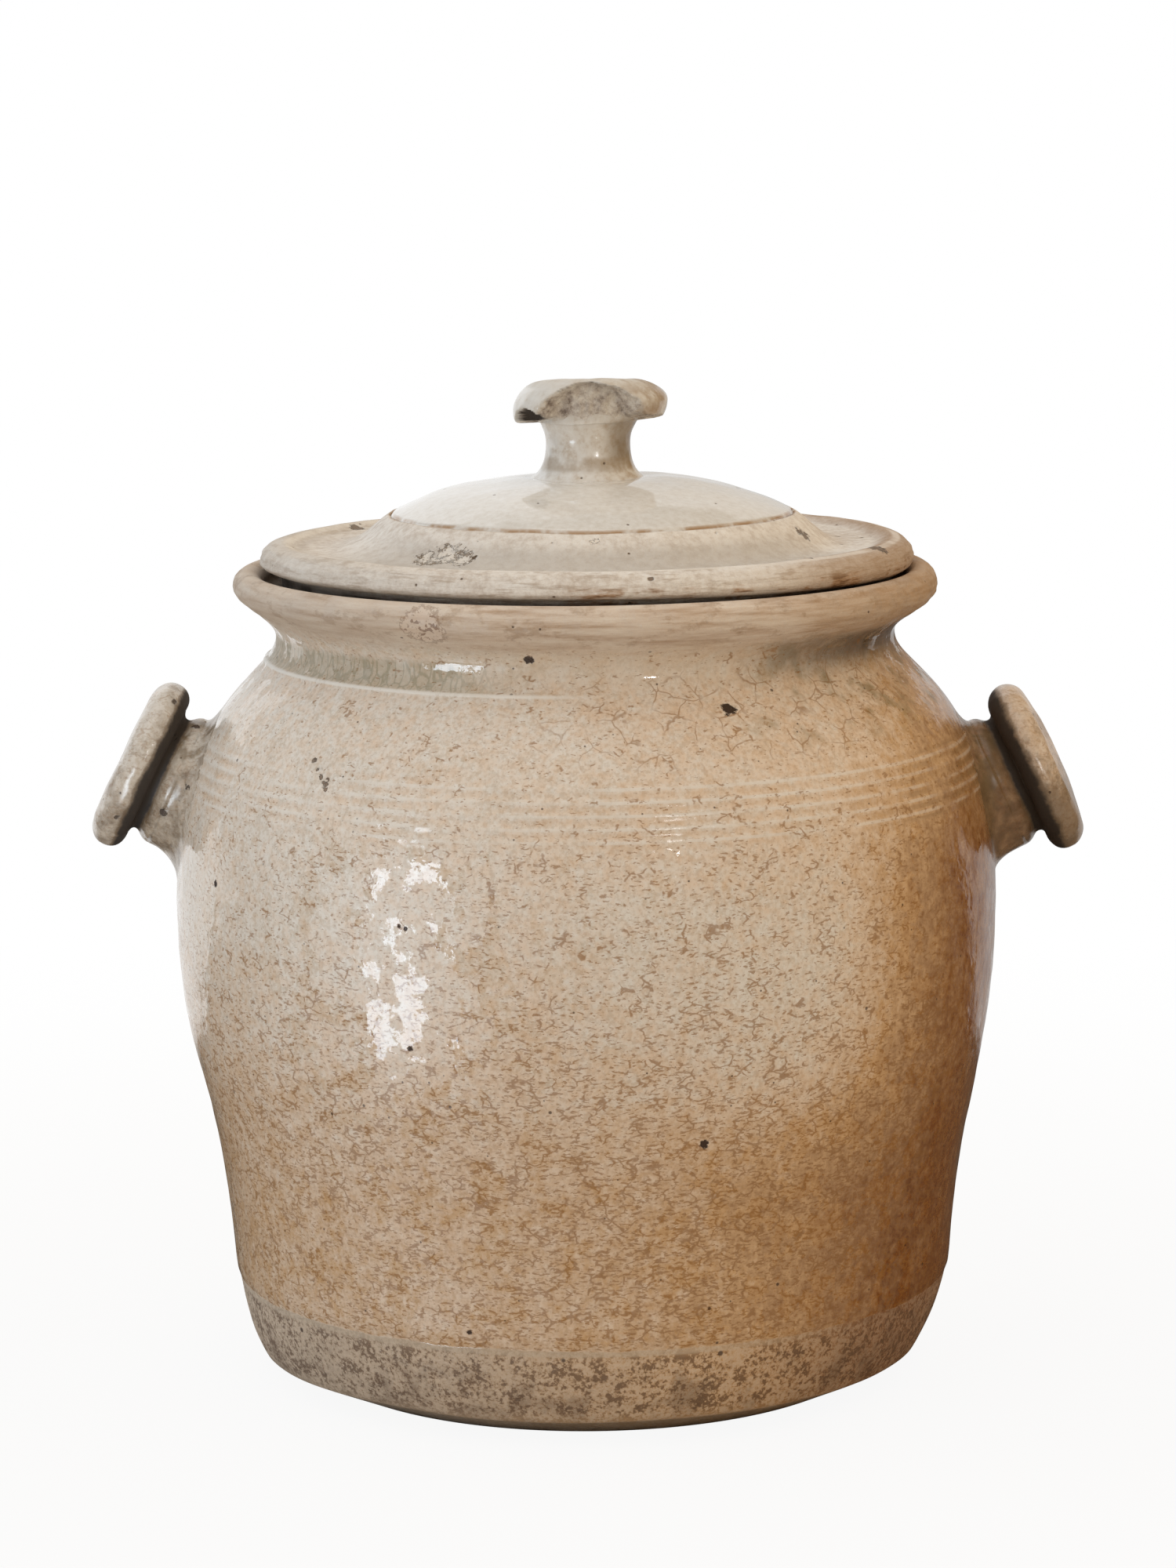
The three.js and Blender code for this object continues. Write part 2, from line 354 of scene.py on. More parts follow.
class Bench:
    """Node tree of one finish, with short ways to lay nodes on it.

    Attributes:
        tree: Node tree that is being laid out.
        point: Object coordinates, in metres.
    """

    def __init__(self, tree: bpy.types.NodeTree) -> None:
        """Clear a node tree and start with the point on the surface."""
        tree.nodes.clear()
        self.tree = tree
        self.point = self.node("ShaderNodeTexCoord", output="Object")

    def node(self, kind: str, settings: dict[str, Any] | None = None,
             inputs: dict[str | int, Feed] | None = None, output: str | int = 0) -> Wire:
        """Lay one node.

        Args:
            kind: Type of the node.
            settings: Properties to set first; stops are a ramp's (place, colour) pairs.
            inputs: Values or wires of its sockets, by name or number.
            output: Output to return.

        Returns:
            A wire from that output.
        """
        made = self.tree.nodes.new(kind)
        for name, value in (settings or {}).items():
            if name == "stops":
                self.set_stops(made.color_ramp, value)
            else:
                setattr(made, name, value)
        for key, value in (inputs or {}).items():
            if isinstance(value, Wire):
                self.tree.links.new(value.socket, made.inputs[key])
            elif isinstance(value, tuple) and made.inputs[key].type == "RGBA":
                made.inputs[key].default_value = (*value, 1.0)
            else:
                made.inputs[key].default_value = value
        return Wire(self, made.outputs[output] if len(made.outputs) else made.inputs[0])

    @staticmethod
    def set_stops(ramp: bpy.types.ColorRamp, stops: list[tuple[float, Colour]]) -> None:
        """Give a colour ramp its stops.

        Args:
            ramp: Ramp to set.
            stops: Place and colour of each stop, in rising order.
        """
        while len(ramp.elements) < len(stops):
            ramp.elements.new(1.0)
        for element, (place, colour) in zip(ramp.elements, stops):
            element.position = place
            element.color = (*colour, 1.0)

    def axes(self, point: Wire | None = None) -> tuple[Wire, Wire, Wire]:
        """X, Y and Z of a point, or of the surface point."""
        x = self.node("ShaderNodeSeparateXYZ", inputs={0: point or self.point})
        return x, x.output(1), x.output(2)

    def vector(self, operation: str, first: Feed, second: Feed, output: str | int = 0) -> Wire:
        """Vector Math of two vectors."""
        return self.node("ShaderNodeVectorMath", {"operation": operation}, {0: first, 1: second}, output)

    def stretched(self, x: float, y: float, z: float, point: Wire | None = None) -> Wire:
        """Point with each axis multiplied, so that a pattern gets finer along it."""
        return self.vector("MULTIPLY", point or self.point, (x, y, z))

    def noise(self, size: float, detail: float = 2.0, roughness: float = 0.5,
              point: Wire | None = None, shift: float = 0.0) -> Wire:
        """Cloudy pattern.

        Args:
            size: Size of its features, in metres.
            detail: Octaves of finer noise.
            roughness: Weight of the finer octaves.
            point: Point to read, or None for the surface point.
            shift: Moves the pattern, so that two of one size differ.

        Returns:
            A value that lies mostly from 0.25 to 0.75.
        """
        place = point or self.point
        if shift:
            place = self.vector("ADD", place, (shift, 0.7 * shift, 0.4 * shift))
        return self.node("ShaderNodeTexNoise", {}, {
            "Vector": place, "Scale": 1.0 / size, "Detail": detail, "Roughness": roughness})

    def warped(self, size: float, amount: float, point: Wire | None = None) -> Wire:
        """Point pushed about by noise.

        Args:
            size: Size of the noise, in metres.
            amount: How far the noise pushes, in metres.
            point: Point to push, or None for the surface point.

        Returns:
            The pushed point.
        """
        place = point or self.point
        push = self.noise(size, 2.0, point=place).output(1)
        centred = self.vector("SUBTRACT", push, (0.5, 0.5, 0.5))
        return self.vector("ADD", place, self.vector("MULTIPLY", centred, (2.0 * amount,) * 3))

    def cells(self, size: float, point: Wire | None = None, feature: str = "F1") -> Wire:
        """Cell pattern of a size in metres; output 1 is each cell's own colour."""
        return self.node("ShaderNodeTexVoronoi", {"feature": feature},
                         {"Vector": point or self.point, "Scale": 1.0 / size})

    def cracks(self, size: float, width: float, point: Wire | None = None) -> Wire:
        """Lines between cells.

        Args:
            size: Size of a cell, in metres.
            width: Half-width of a line, as a share of the size.
            point: Point to read, or None for the surface point.

        Returns:
            1 on a line, 0 away from it.
        """
        return self.cells(size, point, "DISTANCE_TO_EDGE").step(width, 0.2 * width)

    def specks(self, size: float, share: float, reach: float, point: Wire | None = None) -> Wire:
        """Scattered round dots, on part of the cells.

        Args:
            size: Size of a cell, in metres.
            share: Part of the cells that hold a dot.
            reach: Radius of a dot, as a share of the size.
            point: Point to read, or None for the surface point.

        Returns:
            1 in a dot, 0 outside.
        """
        found = self.cells(size, point)
        chosen = self.axes(found.output(1))[0].step(1.0 - share, 1.0 - share + 0.02)
        return found.step(reach, 0.55 * reach) * chosen

    def marks(self, spots: tuple[Mark, ...], edge: float, ragged: float, grown: float = 1.0) -> Wire:
        """Spots at given places, with uneven edges.

        Args:
            spots: Places and sizes.
            edge: Share of the reach at which a spot starts to fade.
            ragged: How far the outline wanders, as a share of the reach.
            grown: Size of the spots against their own reach.

        Returns:
            1 in a spot, 0 outside.
        """
        wander = (self.noise(0.0020, 4.0, 0.75) - 0.5) * (2.0 * ragged)
        found: Wire | None = None
        for spot in spots:
            apart = self.vector("DISTANCE", self.point, spot.place, "Value")
            apart = apart / (spot.reach * grown) + wander
            here = apart.step(1.0, edge)
            found = here if found is None else found.most(here)
        return found

    def mix(self, share: Feed, first: Feed, second: Feed, blend: str = "MIX") -> Wire:
        """Blend of two colours.

        Args:
            share: Weight of the second colour.
            first: First colour.
            second: Second colour.
            blend: Blend type.

        Returns:
            The blended colour.
        """
        settings = {"data_type": "RGBA", "blend_type": blend, "clamp_factor": True}
        return self.node("ShaderNodeMix", settings, {0: share, 6: first, 7: second}, 2)

    def ramp(self, value: Wire, stops: list[tuple[float, Colour]]) -> Wire:
        """Colour looked up along a ramp."""
        return self.node("ShaderNodeValToRGB", {"stops": stops}, {0: value})

    def layer(self, name: str) -> Wire:
        """Value of a mesh attribute."""
        return self.node("ShaderNodeAttribute", {"attribute_name": name}, output="Fac")

    def bump(self, height: Wire) -> Wire:
        """Normal from a height in metres."""
        return self.node("ShaderNodeBump", {}, {"Strength": 1.0, "Distance": 1.0, "Height": height})

    def fire(self, colour: Feed, roughness: Feed, height: Wire, index: float) -> None:
        """Close the tree with a ceramic surface.

        Args:
            colour: Base colour.
            roughness: Roughness, low where the surface is glassy.
            height: Relief, in metres.
            index: Refractive index of the glaze, one number.
        """
        surface = self.node("ShaderNodeBsdfPrincipled", {}, {
            "Base Color": colour, "Roughness": roughness, "IOR": index, "Normal": self.bump(height)})
        self.node("ShaderNodeOutputMaterial", {}, {"Surface": surface})


def new_material(name: str) -> tuple[bpy.types.Material, Bench]:
    """Start a finish.

    Args:
        name: Name of the material.

    Returns:
        The material and the bench that lays out its nodes.
    """
    material = bpy.data.materials.new(name)
    material.use_nodes = True
    return material, Bench(material.node_tree)


@dataclass(frozen=True)
class SaltGlaze:
    """Crazed salt glaze, pale away from the flame and toasted on the flame side; part of the toasting is
    painted shade on the side away from the light.

    Attributes:
        pale: Colour on the side away from the flame.
        beige: Colour of most of the wall.
        toast: Colour towards the flame side.
        umber: Colour where the flame was hottest, deepened by painted shade on the right.
        grain: Tint of the fine grain.
        line: Colour of stained craze lines.
        iron: Colour of iron specks.
        grime_and_shade: Colour of deposits in pits and joints, also used as painted shade in the lugs'
            joints and the knob's hollow.
        index: Refractive index of the glaze.
    """

    pale: Colour = (0.76, 0.71, 0.64)
    beige: Colour = (0.74, 0.59, 0.45)
    toast: Colour = (0.60, 0.39, 0.21)
    umber: Colour = (0.22, 0.082, 0.018)
    grain: Colour = (0.66, 0.56, 0.44)
    line: Colour = (0.29, 0.130, 0.030)
    iron: Colour = IRON
    grime_and_shade: Colour = (0.045, 0.03, 0.018)
    index: float = 1.60

    def ground(self, bench: Bench, warmth: Wire) -> Wire:
        """Colour of the glaze between its lines and specks.

        Args:
            bench: Bench to lay the nodes on.
            warmth: Share of toasting.

        Returns:
            The colour.
        """
        mottle = (bench.noise(0.0034, 3.0, 0.65) - 0.5) * 0.85
        toned = bench.ramp((warmth + mottle) * 0.75, [
            (0.0, self.pale), (0.26, self.beige), (0.51, self.toast), (1.0, self.umber)])
        grain = bench.noise(0.0013, 2.0, 0.6).step(0.40, 0.68)
        return bench.mix(grain * 0.45, toned, bench.mix(1.0, toned, self.grain, "MULTIPLY"))

    def crazing(self, bench: Bench, density: Feed) -> Wire:
        """Short level strokes, with a few longer cracks between them.

        Args:
            bench: Bench to lay the nodes on.
            density: Share of the strokes that show.

        Returns:
            1 on a stroke, 0 away from it.
        """
        level = bench.warped(0.0026, 0.0009, bench.stretched(1.0, 1.0, 2.8))
        patch = (bench.noise(0.015, 3.0, 0.6, shift=0.4) - 0.5) * 0.18
        wanted = 0.625 - density * 0.075 - patch
        dashes = (bench.noise(0.0020, 2.0, 0.55, level) - wanted).step(0.0, 0.06)
        bent = bench.warped(0.0042, 0.0021, bench.stretched(1.0, 1.0, 1.6))
        broken = bench.noise(0.0052, 2.0, 0.6, shift=0.9) + patch * 0.5 + density * 0.11
        lines = bench.cracks(0.0052, 0.095, bent) * broken.step(0.590, 0.655)
        return (dashes * 0.75).most(lines * 0.8)


@dataclass(frozen=True)
class FootClay:
    """Rough bare clay of the foot, with a grimy belt low down.

    Attributes:
        top: Height at which the glaze stops above it.
        grimy: Height of the grimy belt.
        sole: Height below which it faces the ground.
        cool: Colour on the side away from the flame.
        warm: Colour towards the flame side.
        burnt_and_shaded: Colour where the flame was hottest, with painted shade on the right.
        rubbed: Colour of rubbed grains.
        crumb: Colour of dark crumbs.
        rim: Colour of the bare line under the glaze.
        dirt_and_shade: Colour of the belt's soaked-in stains.
        worn: Colour of the sole, darkened as painted shade where it faces the ground.
        iron: Colour of iron specks.
    """

    top: float = 0.0322
    grimy: float = 0.0200
    sole: float = 0.0078
    cool: Colour = (0.42, 0.325, 0.235)
    warm: Colour = (0.54, 0.325, 0.150)
    burnt_and_shaded: Colour = (0.20, 0.078, 0.022)
    rubbed: Colour = (0.74, 0.62, 0.49)
    crumb: Colour = (0.15, 0.085, 0.045)
    rim: Colour = (0.58, 0.49, 0.38)
    dirt_and_shade: Colour = (0.14, 0.08, 0.042)
    worn: Colour = (0.22, 0.17, 0.12)
    iron: Colour = IRON

    def colour(self, bench: Bench) -> Wire:
        """Lay out the colour of the clay.

        Args:
            bench: Bench to lay the nodes on.

        Returns:
            The colour.
        """
        x, _, z = bench.axes()
        clouds = bench.noise(0.0070, 4.0, 0.7, shift=3.0)
        grain = bench.noise(0.0014, 3.0, 0.7, shift=3.0)
        # Browner to the right: toasting, with painted shade on the side away from the light.
        flame = x.step(0.03, 0.095)
        base = bench.mix(x.step(-0.09, 0.06), self.cool, self.warm)
        base = bench.mix(flame * 0.9, base, self.burnt_and_shaded)
        pale = bench.mix(0.5 - flame * 0.3, base, self.rubbed)
        clay = bench.mix((clouds * 0.35 + grain * 0.65).step(0.43, 0.56), pale, base)
        crumbs = (clouds * 0.45 + grain * 0.55).step(0.50, 0.57) * z.band(self.grimy, 0.0080, 0.0045)
        clay = bench.mix(crumbs * 0.75, clay, self.crumb)
        edge = z.band(self.top - 0.0012, 0.0005, 0.0010)
        clay = bench.mix(edge * x.step(0.09, 0.02) * 0.5, clay, self.rim)
        belt = z.band(self.grimy - 0.0035, 0.004, 0.007)
        dirt_and_shade = bench.noise(0.013, 4.0, 0.65, shift=4.0).step(0.46, 0.66) * belt
        clay = bench.mix(dirt_and_shade * 0.45, clay, self.dirt_and_shade)
        # Painted shade on the sole, which faces the ground.
        clay = bench.mix(z.step(self.sole, self.sole - 0.001) * 0.55, clay, self.worn)
        return bench.mix(bench.specks(0.008, 0.3, 0.13) * 0.85, clay, self.iron)


@dataclass(frozen=True)
class LipClay:
    """Dry clay of the lip with throwing streaks.

    Attributes:
        bottom: Height above which the lip is dry.
        streaks: Colours of the streaks, from pale to dark.
        stain: Colour of stains along the streaks.
        burnt_and_shaded: Colour on the flame side, partly painted shade.
        cool: Colour on the side away from the flame.
        bared: Colour where the skin has come off.
        torn: Colour of torn edges and holes.
        iron: Colour of iron specks.
        scab: Place where the skin has come off.
    """

    bottom: float = 0.2405
    streaks: Palette = ((0.72, 0.63, 0.53), (0.64, 0.525, 0.42), (0.47, 0.335, 0.23))
    stain: Colour = (0.33, 0.21, 0.12)
    burnt_and_shaded: Colour = (0.38, 0.22, 0.095)
    cool: Colour = (0.45, 0.38, 0.31)
    bared: Colour = (0.70, 0.58, 0.48)
    torn: Colour = (0.22, 0.12, 0.065)
    iron: Colour = IRON
    scab: Mark = Mark((-0.0478, -0.0981, 0.2462), 0.0066)

    def colour(self, bench: Bench) -> Wire:
        """Lay out the colour of the clay.

        Args:
            bench: Bench to lay the nodes on.

        Returns:
            The colour.
        """
        x = bench.axes()[0]
        streaks = bench.noise(0.022, 4.0, 0.65, bench.stretched(1.0, 1.0, 12.0))
        # Darker to the right, here and below: toasting, with painted shade on the side away from the
        # light.
        clay = bench.ramp(streaks + x * 0.5, list(zip((0.32, 0.5, 0.68), self.streaks)))
        stain = bench.noise(0.009, 4.0, 0.7, bench.stretched(1.0, 1.0, 2.0), 0.6).step(0.52, 0.66)
        clay = bench.mix(stain * 0.5, clay, self.stain)
        clay = bench.mix(x.step(0.045, 0.105) * 0.6, clay, self.burnt_and_shaded)
        clay = bench.mix(x.step(-0.02, -0.09) * 0.35, clay, self.cool)
        scab = bench.marks((self.scab,), 0.9, 0.6)
        torn = bench.marks((self.scab,), 0.9, 0.6, 1.15) - scab
        holes = bench.noise(0.0019, 3.0, 0.6, shift=1.9).step(0.54, 0.60) * scab
        clay = bench.mix(scab * 0.6, clay, self.bared)
        clay = bench.mix((torn * 0.6).most(holes) * 0.75, clay, self.torn)
        pits = bench.specks(0.0065, 0.35, 0.085, bench.warped(0.003, 0.0008))
        return bench.mix(pits * 0.8, clay, self.iron)


@dataclass(frozen=True)
class WallFinish(SaltGlaze):
    """Glaze of the thrown wall, with its dry foot and lip.

    Attributes:
        foot: Bare clay under the glaze.
        lip: Dry clay of the lip.
        neck_line: Height of the raised line under the neck.
        throat_line: Height of the narrowest place.
        band_base: Height of the lowest shoulder ring.
        band_pitch: Distance between shoulder rings.
        band_count: Number of shoulder rings.
        valley_glaze_and_shade: Colour between the rings on the flame side, pooled glaze with painted
            shade.
        sage: Colour of glaze that pooled over the neck line.
        sage_line: Colour of craze lines in it.
        smudge: Colour of smudges under the neck.
        throat_lit: Colour of painted light on the throat in front.
        throat_shade: Colour of painted shade in the throat on the right, under the lip.
        burst: Colour of burst pits.
        ridge: Colour of the raised line.
        inside: Colour of the glazed inside.
        painted_shade: Colour of painted shade in the mouth, under the lid.
        spots: Places of large iron spots.
        pits: Places of burst pits.
    """

    foot: FootClay = FootClay()
    lip: LipClay = LipClay()
    neck_line: float = 0.2262
    throat_line: float = 0.2360
    band_base: float = 0.1868
    band_pitch: float = 0.0037
    band_count: int = 5
    valley_glaze_and_shade: Colour = (0.28, 0.155, 0.06)
    sage: Colour = (0.45, 0.395, 0.285)
    sage_line: Colour = (0.24, 0.225, 0.14)
    smudge: Colour = (0.24, 0.18, 0.08)
    throat_lit: Colour = (0.74, 0.66, 0.55)
    throat_shade: Colour = (0.052, 0.026, 0.008)
    burst: Colour = (0.17, 0.10, 0.05)
    ridge: Colour = (0.83, 0.80, 0.74)
    inside: Colour = (0.36, 0.24, 0.14)
    painted_shade: Colour = (0.040, 0.026, 0.016)
    spots: tuple[Mark, ...] = (
        Mark((-0.0165, -0.0965, 0.2373), 0.0019), Mark((0.042, -0.0947, 0.2216), 0.0024),
        Mark((-0.0552, -0.1155, 0.1614), 0.0009), Mark((-0.0533, -0.1160, 0.1607), 0.0007),
        Mark((-0.0525, -0.1156, 0.1249), 0.0010), Mark((0.0334, -0.1176, 0.0959), 0.0014),
        Mark((0.0349, -0.1057, 0.0243), 0.0013), Mark((-0.1121, -0.0607, 0.1647), 0.0012),
        Mark((-0.0366, -0.1073, 0.0368), 0.0010), Mark((0.0105, 0.1250, 0.1400), 0.0012),
    )
    pits: tuple[Mark, ...] = (
        Mark((-0.0810, -0.0836, 0.2057), 0.0011), Mark((-0.0800, -0.0862, 0.2035), 0.0007),
        Mark((-0.0787, -0.0886, 0.2016), 0.0009), Mark((-0.0777, -0.0907, 0.1998), 0.0013),
        Mark((-0.0766, -0.0906, 0.2010), 0.0007), Mark((-0.0771, -0.0921, 0.1984), 0.0009),
        Mark((0.030, 0.117, 0.150), 0.0024),
        Mark((-0.052, 0.104, 0.196), 0.0030), Mark((0.085, 0.083, 0.105), 0.0018),
    )

    def material(self) -> bpy.types.Material:
        """Lay out the wall's material.

        Returns:
            The finished material.
        """
        made, bench = new_material("pot_glaze")
        x, y, z = bench.axes()
        radius = (x * x + y * y).math("SQRT")
        warmth = self.warmth(bench)
        colour = self.ringed(bench, self.ground(bench, warmth), warmth)
        colour = self.necked(bench, colour, radius)
        strokes = self.strokes(bench)
        colour = bench.mix(strokes * 0.84, colour, self.line)
        freckles = bench.specks(0.0095, 0.45, 0.070).most(bench.specks(0.0042, 0.20, 0.10))
        colour = bench.mix(freckles * 0.78, colour, self.iron)
        spots = bench.marks(self.spots, 0.7, 1.1)
        colour = bench.mix(spots, colour, self.iron)
        pits = bench.marks(self.pits, 0.7, 1.2)
        colour = bench.mix(pits * 0.85, colour, self.burst)

        uneven = (bench.noise(0.012, 3.0, 0.6) - 0.5) * 0.0022
        foot = (z + uneven).step(self.foot.top, self.foot.top - 0.0006)
        colour = bench.mix(foot, colour, self.foot.colour(bench))
        lip = (z + uneven * 3.0).step(self.lip.bottom - 0.004, self.lip.bottom + 0.003)
        lip = lip * radius.step(0.092, 0.0965)
        colour = bench.mix(lip, colour, self.lip.colour(bench))
        ridge = z.band(self.neck_line, 0.0002, 0.0006) * x.step(0.015, -0.025)
        colour = bench.mix(ridge * 0.9, colour, self.ridge)
        colour = self.lined(bench, colour, strokes)

        dry = foot.most(lip)
        peel = bench.noise(0.0030, 2.0) * 0.0001 + bench.noise(0.0075, 2.0) * 0.0003
        peel = peel + bench.noise(0.024, 2.0) * 0.0008
        tooth = bench.noise(0.0016, 4.0, 0.7) * 0.00042
        height = peel + dry * tooth - (spots * 0.0002).most(pits * 0.0007)
        cloudy = bench.noise(0.0100, 5.0, 0.70, shift=7.0).step(0.45, 0.50)
        cloudy = cloudy * (1.0 - x.math("ABSOLUTE").step(0.090, 0.116) * 0.75)
        ringed = z.band(self.band_base + 0.008, 0.009, 0.003) * 0.16
        roughness = 0.06 + cloudy * 0.54 + ringed + dry.most(pits).most(spots) * 0.6
        bench.fire(colour, roughness, height, self.index)
        return made

    @staticmethod
    def warmth(bench: Bench) -> Wire:
        """How toasted the glaze is at a point, from 0 to 1; its rise to the right and low down is partly
        painted shade, and its pale patch in front is partly a painted highlight.

        Args:
            bench: Bench to lay the nodes on.

        Returns:
            The share of toasting, partly painted shade.
        """
        x, y, z = bench.axes()
        # Toasting rises low down and to the right; part of it is painted shade on the side away from the
        # light.
        low = z.step(0.165, 0.062)
        smoke = x.step(-0.055, -0.115) * low * 0.12
        calm = 0.20 + x * 1.2 + low * 0.33 + x.step(0.02, 0.10) * low * low * 0.46 + smoke
        # Pale patch in front: a blotch with a painted soft highlight.
        blotch_and_highlight = x.band(0.038, 0.026, 0.030) * z.band(0.135, 0.020, 0.026) * y.step(0.0, -0.05)
        flame = x.step(0.068, 0.121)
        hottest = 1.22 + low * 0.10 - z.step(0.165, 0.20) * 0.26
        toasted = calm + (hottest - calm) * flame - blotch_and_highlight * 0.17
        clouds = (bench.noise(0.080, 2.0, 0.5) - 0.5) * 0.26
        return toasted + clouds + (bench.noise(0.015, 3.0, 0.6, shift=2.6) - 0.5) * 0.38

    def ringed(self, bench: Bench, colour: Wire, warmth: Wire) -> Wire:
        """Pale crests and darker valleys of the shoulder rings, partly glaze and partly painted highlight
        and shade.

        Args:
            bench: Bench to lay the nodes on.
            colour: Colour of the glaze.
            warmth: Share of toasting.

        Returns:
            The colour with its rings.
        """
        x, _, z = bench.axes()
        middle = self.band_base + 0.5 * self.band_pitch * (self.band_count - 1)
        share = z.band(middle, 0.45 * self.band_pitch * self.band_count, 0.002)
        wave = ((z - self.band_base) * (math.tau / self.band_pitch)).math("COSINE")
        worn = bench.noise(0.018, 3.0, 0.6, shift=1.1).step(0.30, 0.62)
        # Crests: paler glaze with a painted highlight, weaker on the right.
        crest = share * wave.step(0.45, 0.95) * (0.8 - x.step(0.06, 0.11) * 0.45)
        colour = bench.mix(crest * worn, colour, self.pale)
        # Valleys: pooled glaze with painted shade, deeper where toasted.
        valley_glaze_and_shade = share * wave.step(0.1, -0.8) * (0.24 + warmth.step(0.15, 0.8) * 0.46)
        shade = bench.mix(warmth.step(0.4, 1.0), self.toast, self.valley_glaze_and_shade)
        return bench.mix(valley_glaze_and_shade * worn, colour, shade)

    def necked(self, bench: Bench, colour: Wire, radius: Wire) -> Wire:
        """Pooled glaze, smudges and shade about the neck.

        Args:
            bench: Bench to lay the nodes on.
            colour: Colour of the glaze.
            radius: Distance from the pot's axis.

        Returns:
            The colour with its neck.
        """
        x, y, z = bench.axes()
        pooled = z.band(self.neck_line + 0.0042, 0.0028, 0.0025) * y.step(0.03, -0.02)
        pooled = pooled * x.step(-0.015, -0.045)
        colour = bench.mix(pooled * 0.55, colour, self.sage)
        smudge = bench.noise(0.013, 3.0, 0.6, shift=2.0).step(0.48, 0.66) * z.band(0.226, 0.010, 0.009)
        colour = bench.mix(smudge * x.step(0.030, 0.070) * 0.65, colour, self.smudge)
        throat = z.band(self.throat_line, 0.002, 0.009) * radius.step(0.094, 0.096)
        # Painted light on the throat in front.
        colour = bench.mix(throat * x.band(0.0, 0.03, 0.04) * 0.4, colour, self.throat_lit)
        # Painted shade under the lip on the right side of the throat.
        colour = bench.mix(throat * x.step(0.035, 0.085) * 0.8, colour, self.throat_shade)
        bent = bench.warped(0.003, 0.0010, bench.stretched(1.5, 1.5, 0.4))
        upright = bench.cracks(0.0040, 0.13, bent)
        return bench.mix(upright * pooled * 0.4, colour, self.sage_line)

    def strokes(self, bench: Bench) -> Wire:
        """Craze lines, dense low down, with a net of cracks under the neck.

        Args:
            bench: Bench to lay the nodes on.

        Returns:
            1 on a line, 0 away from it.
        """
        x, _, z = bench.axes()
        net = bench.cracks(0.0085, 0.040, bench.warped(0.006, 0.002)) * z.band(0.2195, 0.008, 0.008)
        net = net * x.step(-0.05, 0.02) * bench.noise(0.010, 2.0, shift=1.3).step(0.42, 0.56)
        density = 0.35 + z.step(0.175, 0.09) * 0.65 - z.step(0.175, 0.2) * 0.45 + x * 1.5
        return self.crazing(bench, density).most(net * 0.7)

    def lined(self, bench: Bench, colour: Wire, strokes: Wire) -> Wire:
        """Brown glaze of the inside, with painted shade in the mouth.

        Args:
            bench: Bench to lay the nodes on.
            colour: Colour of the outside.
            strokes: Craze lines.

        Returns:
            The colour with its inside.
        """
        z = bench.axes()[2]
        lining = bench.mix(strokes * 0.4, self.inside, self.line)
        clouds = bench.noise(0.011, 4.0, 0.65, shift=5.5).step(0.36, 0.60)
        # Painted shade on the ledge and the top of the inside, nearly black, so that the gap under the lid
        # looks dark.
        shade_share = z.step(0.2370, 0.2435) * (0.55 + clouds * 0.4)
        return bench.mix(bench.layer("inside"), colour, bench.mix(shade_share, lining, self.painted_shade))


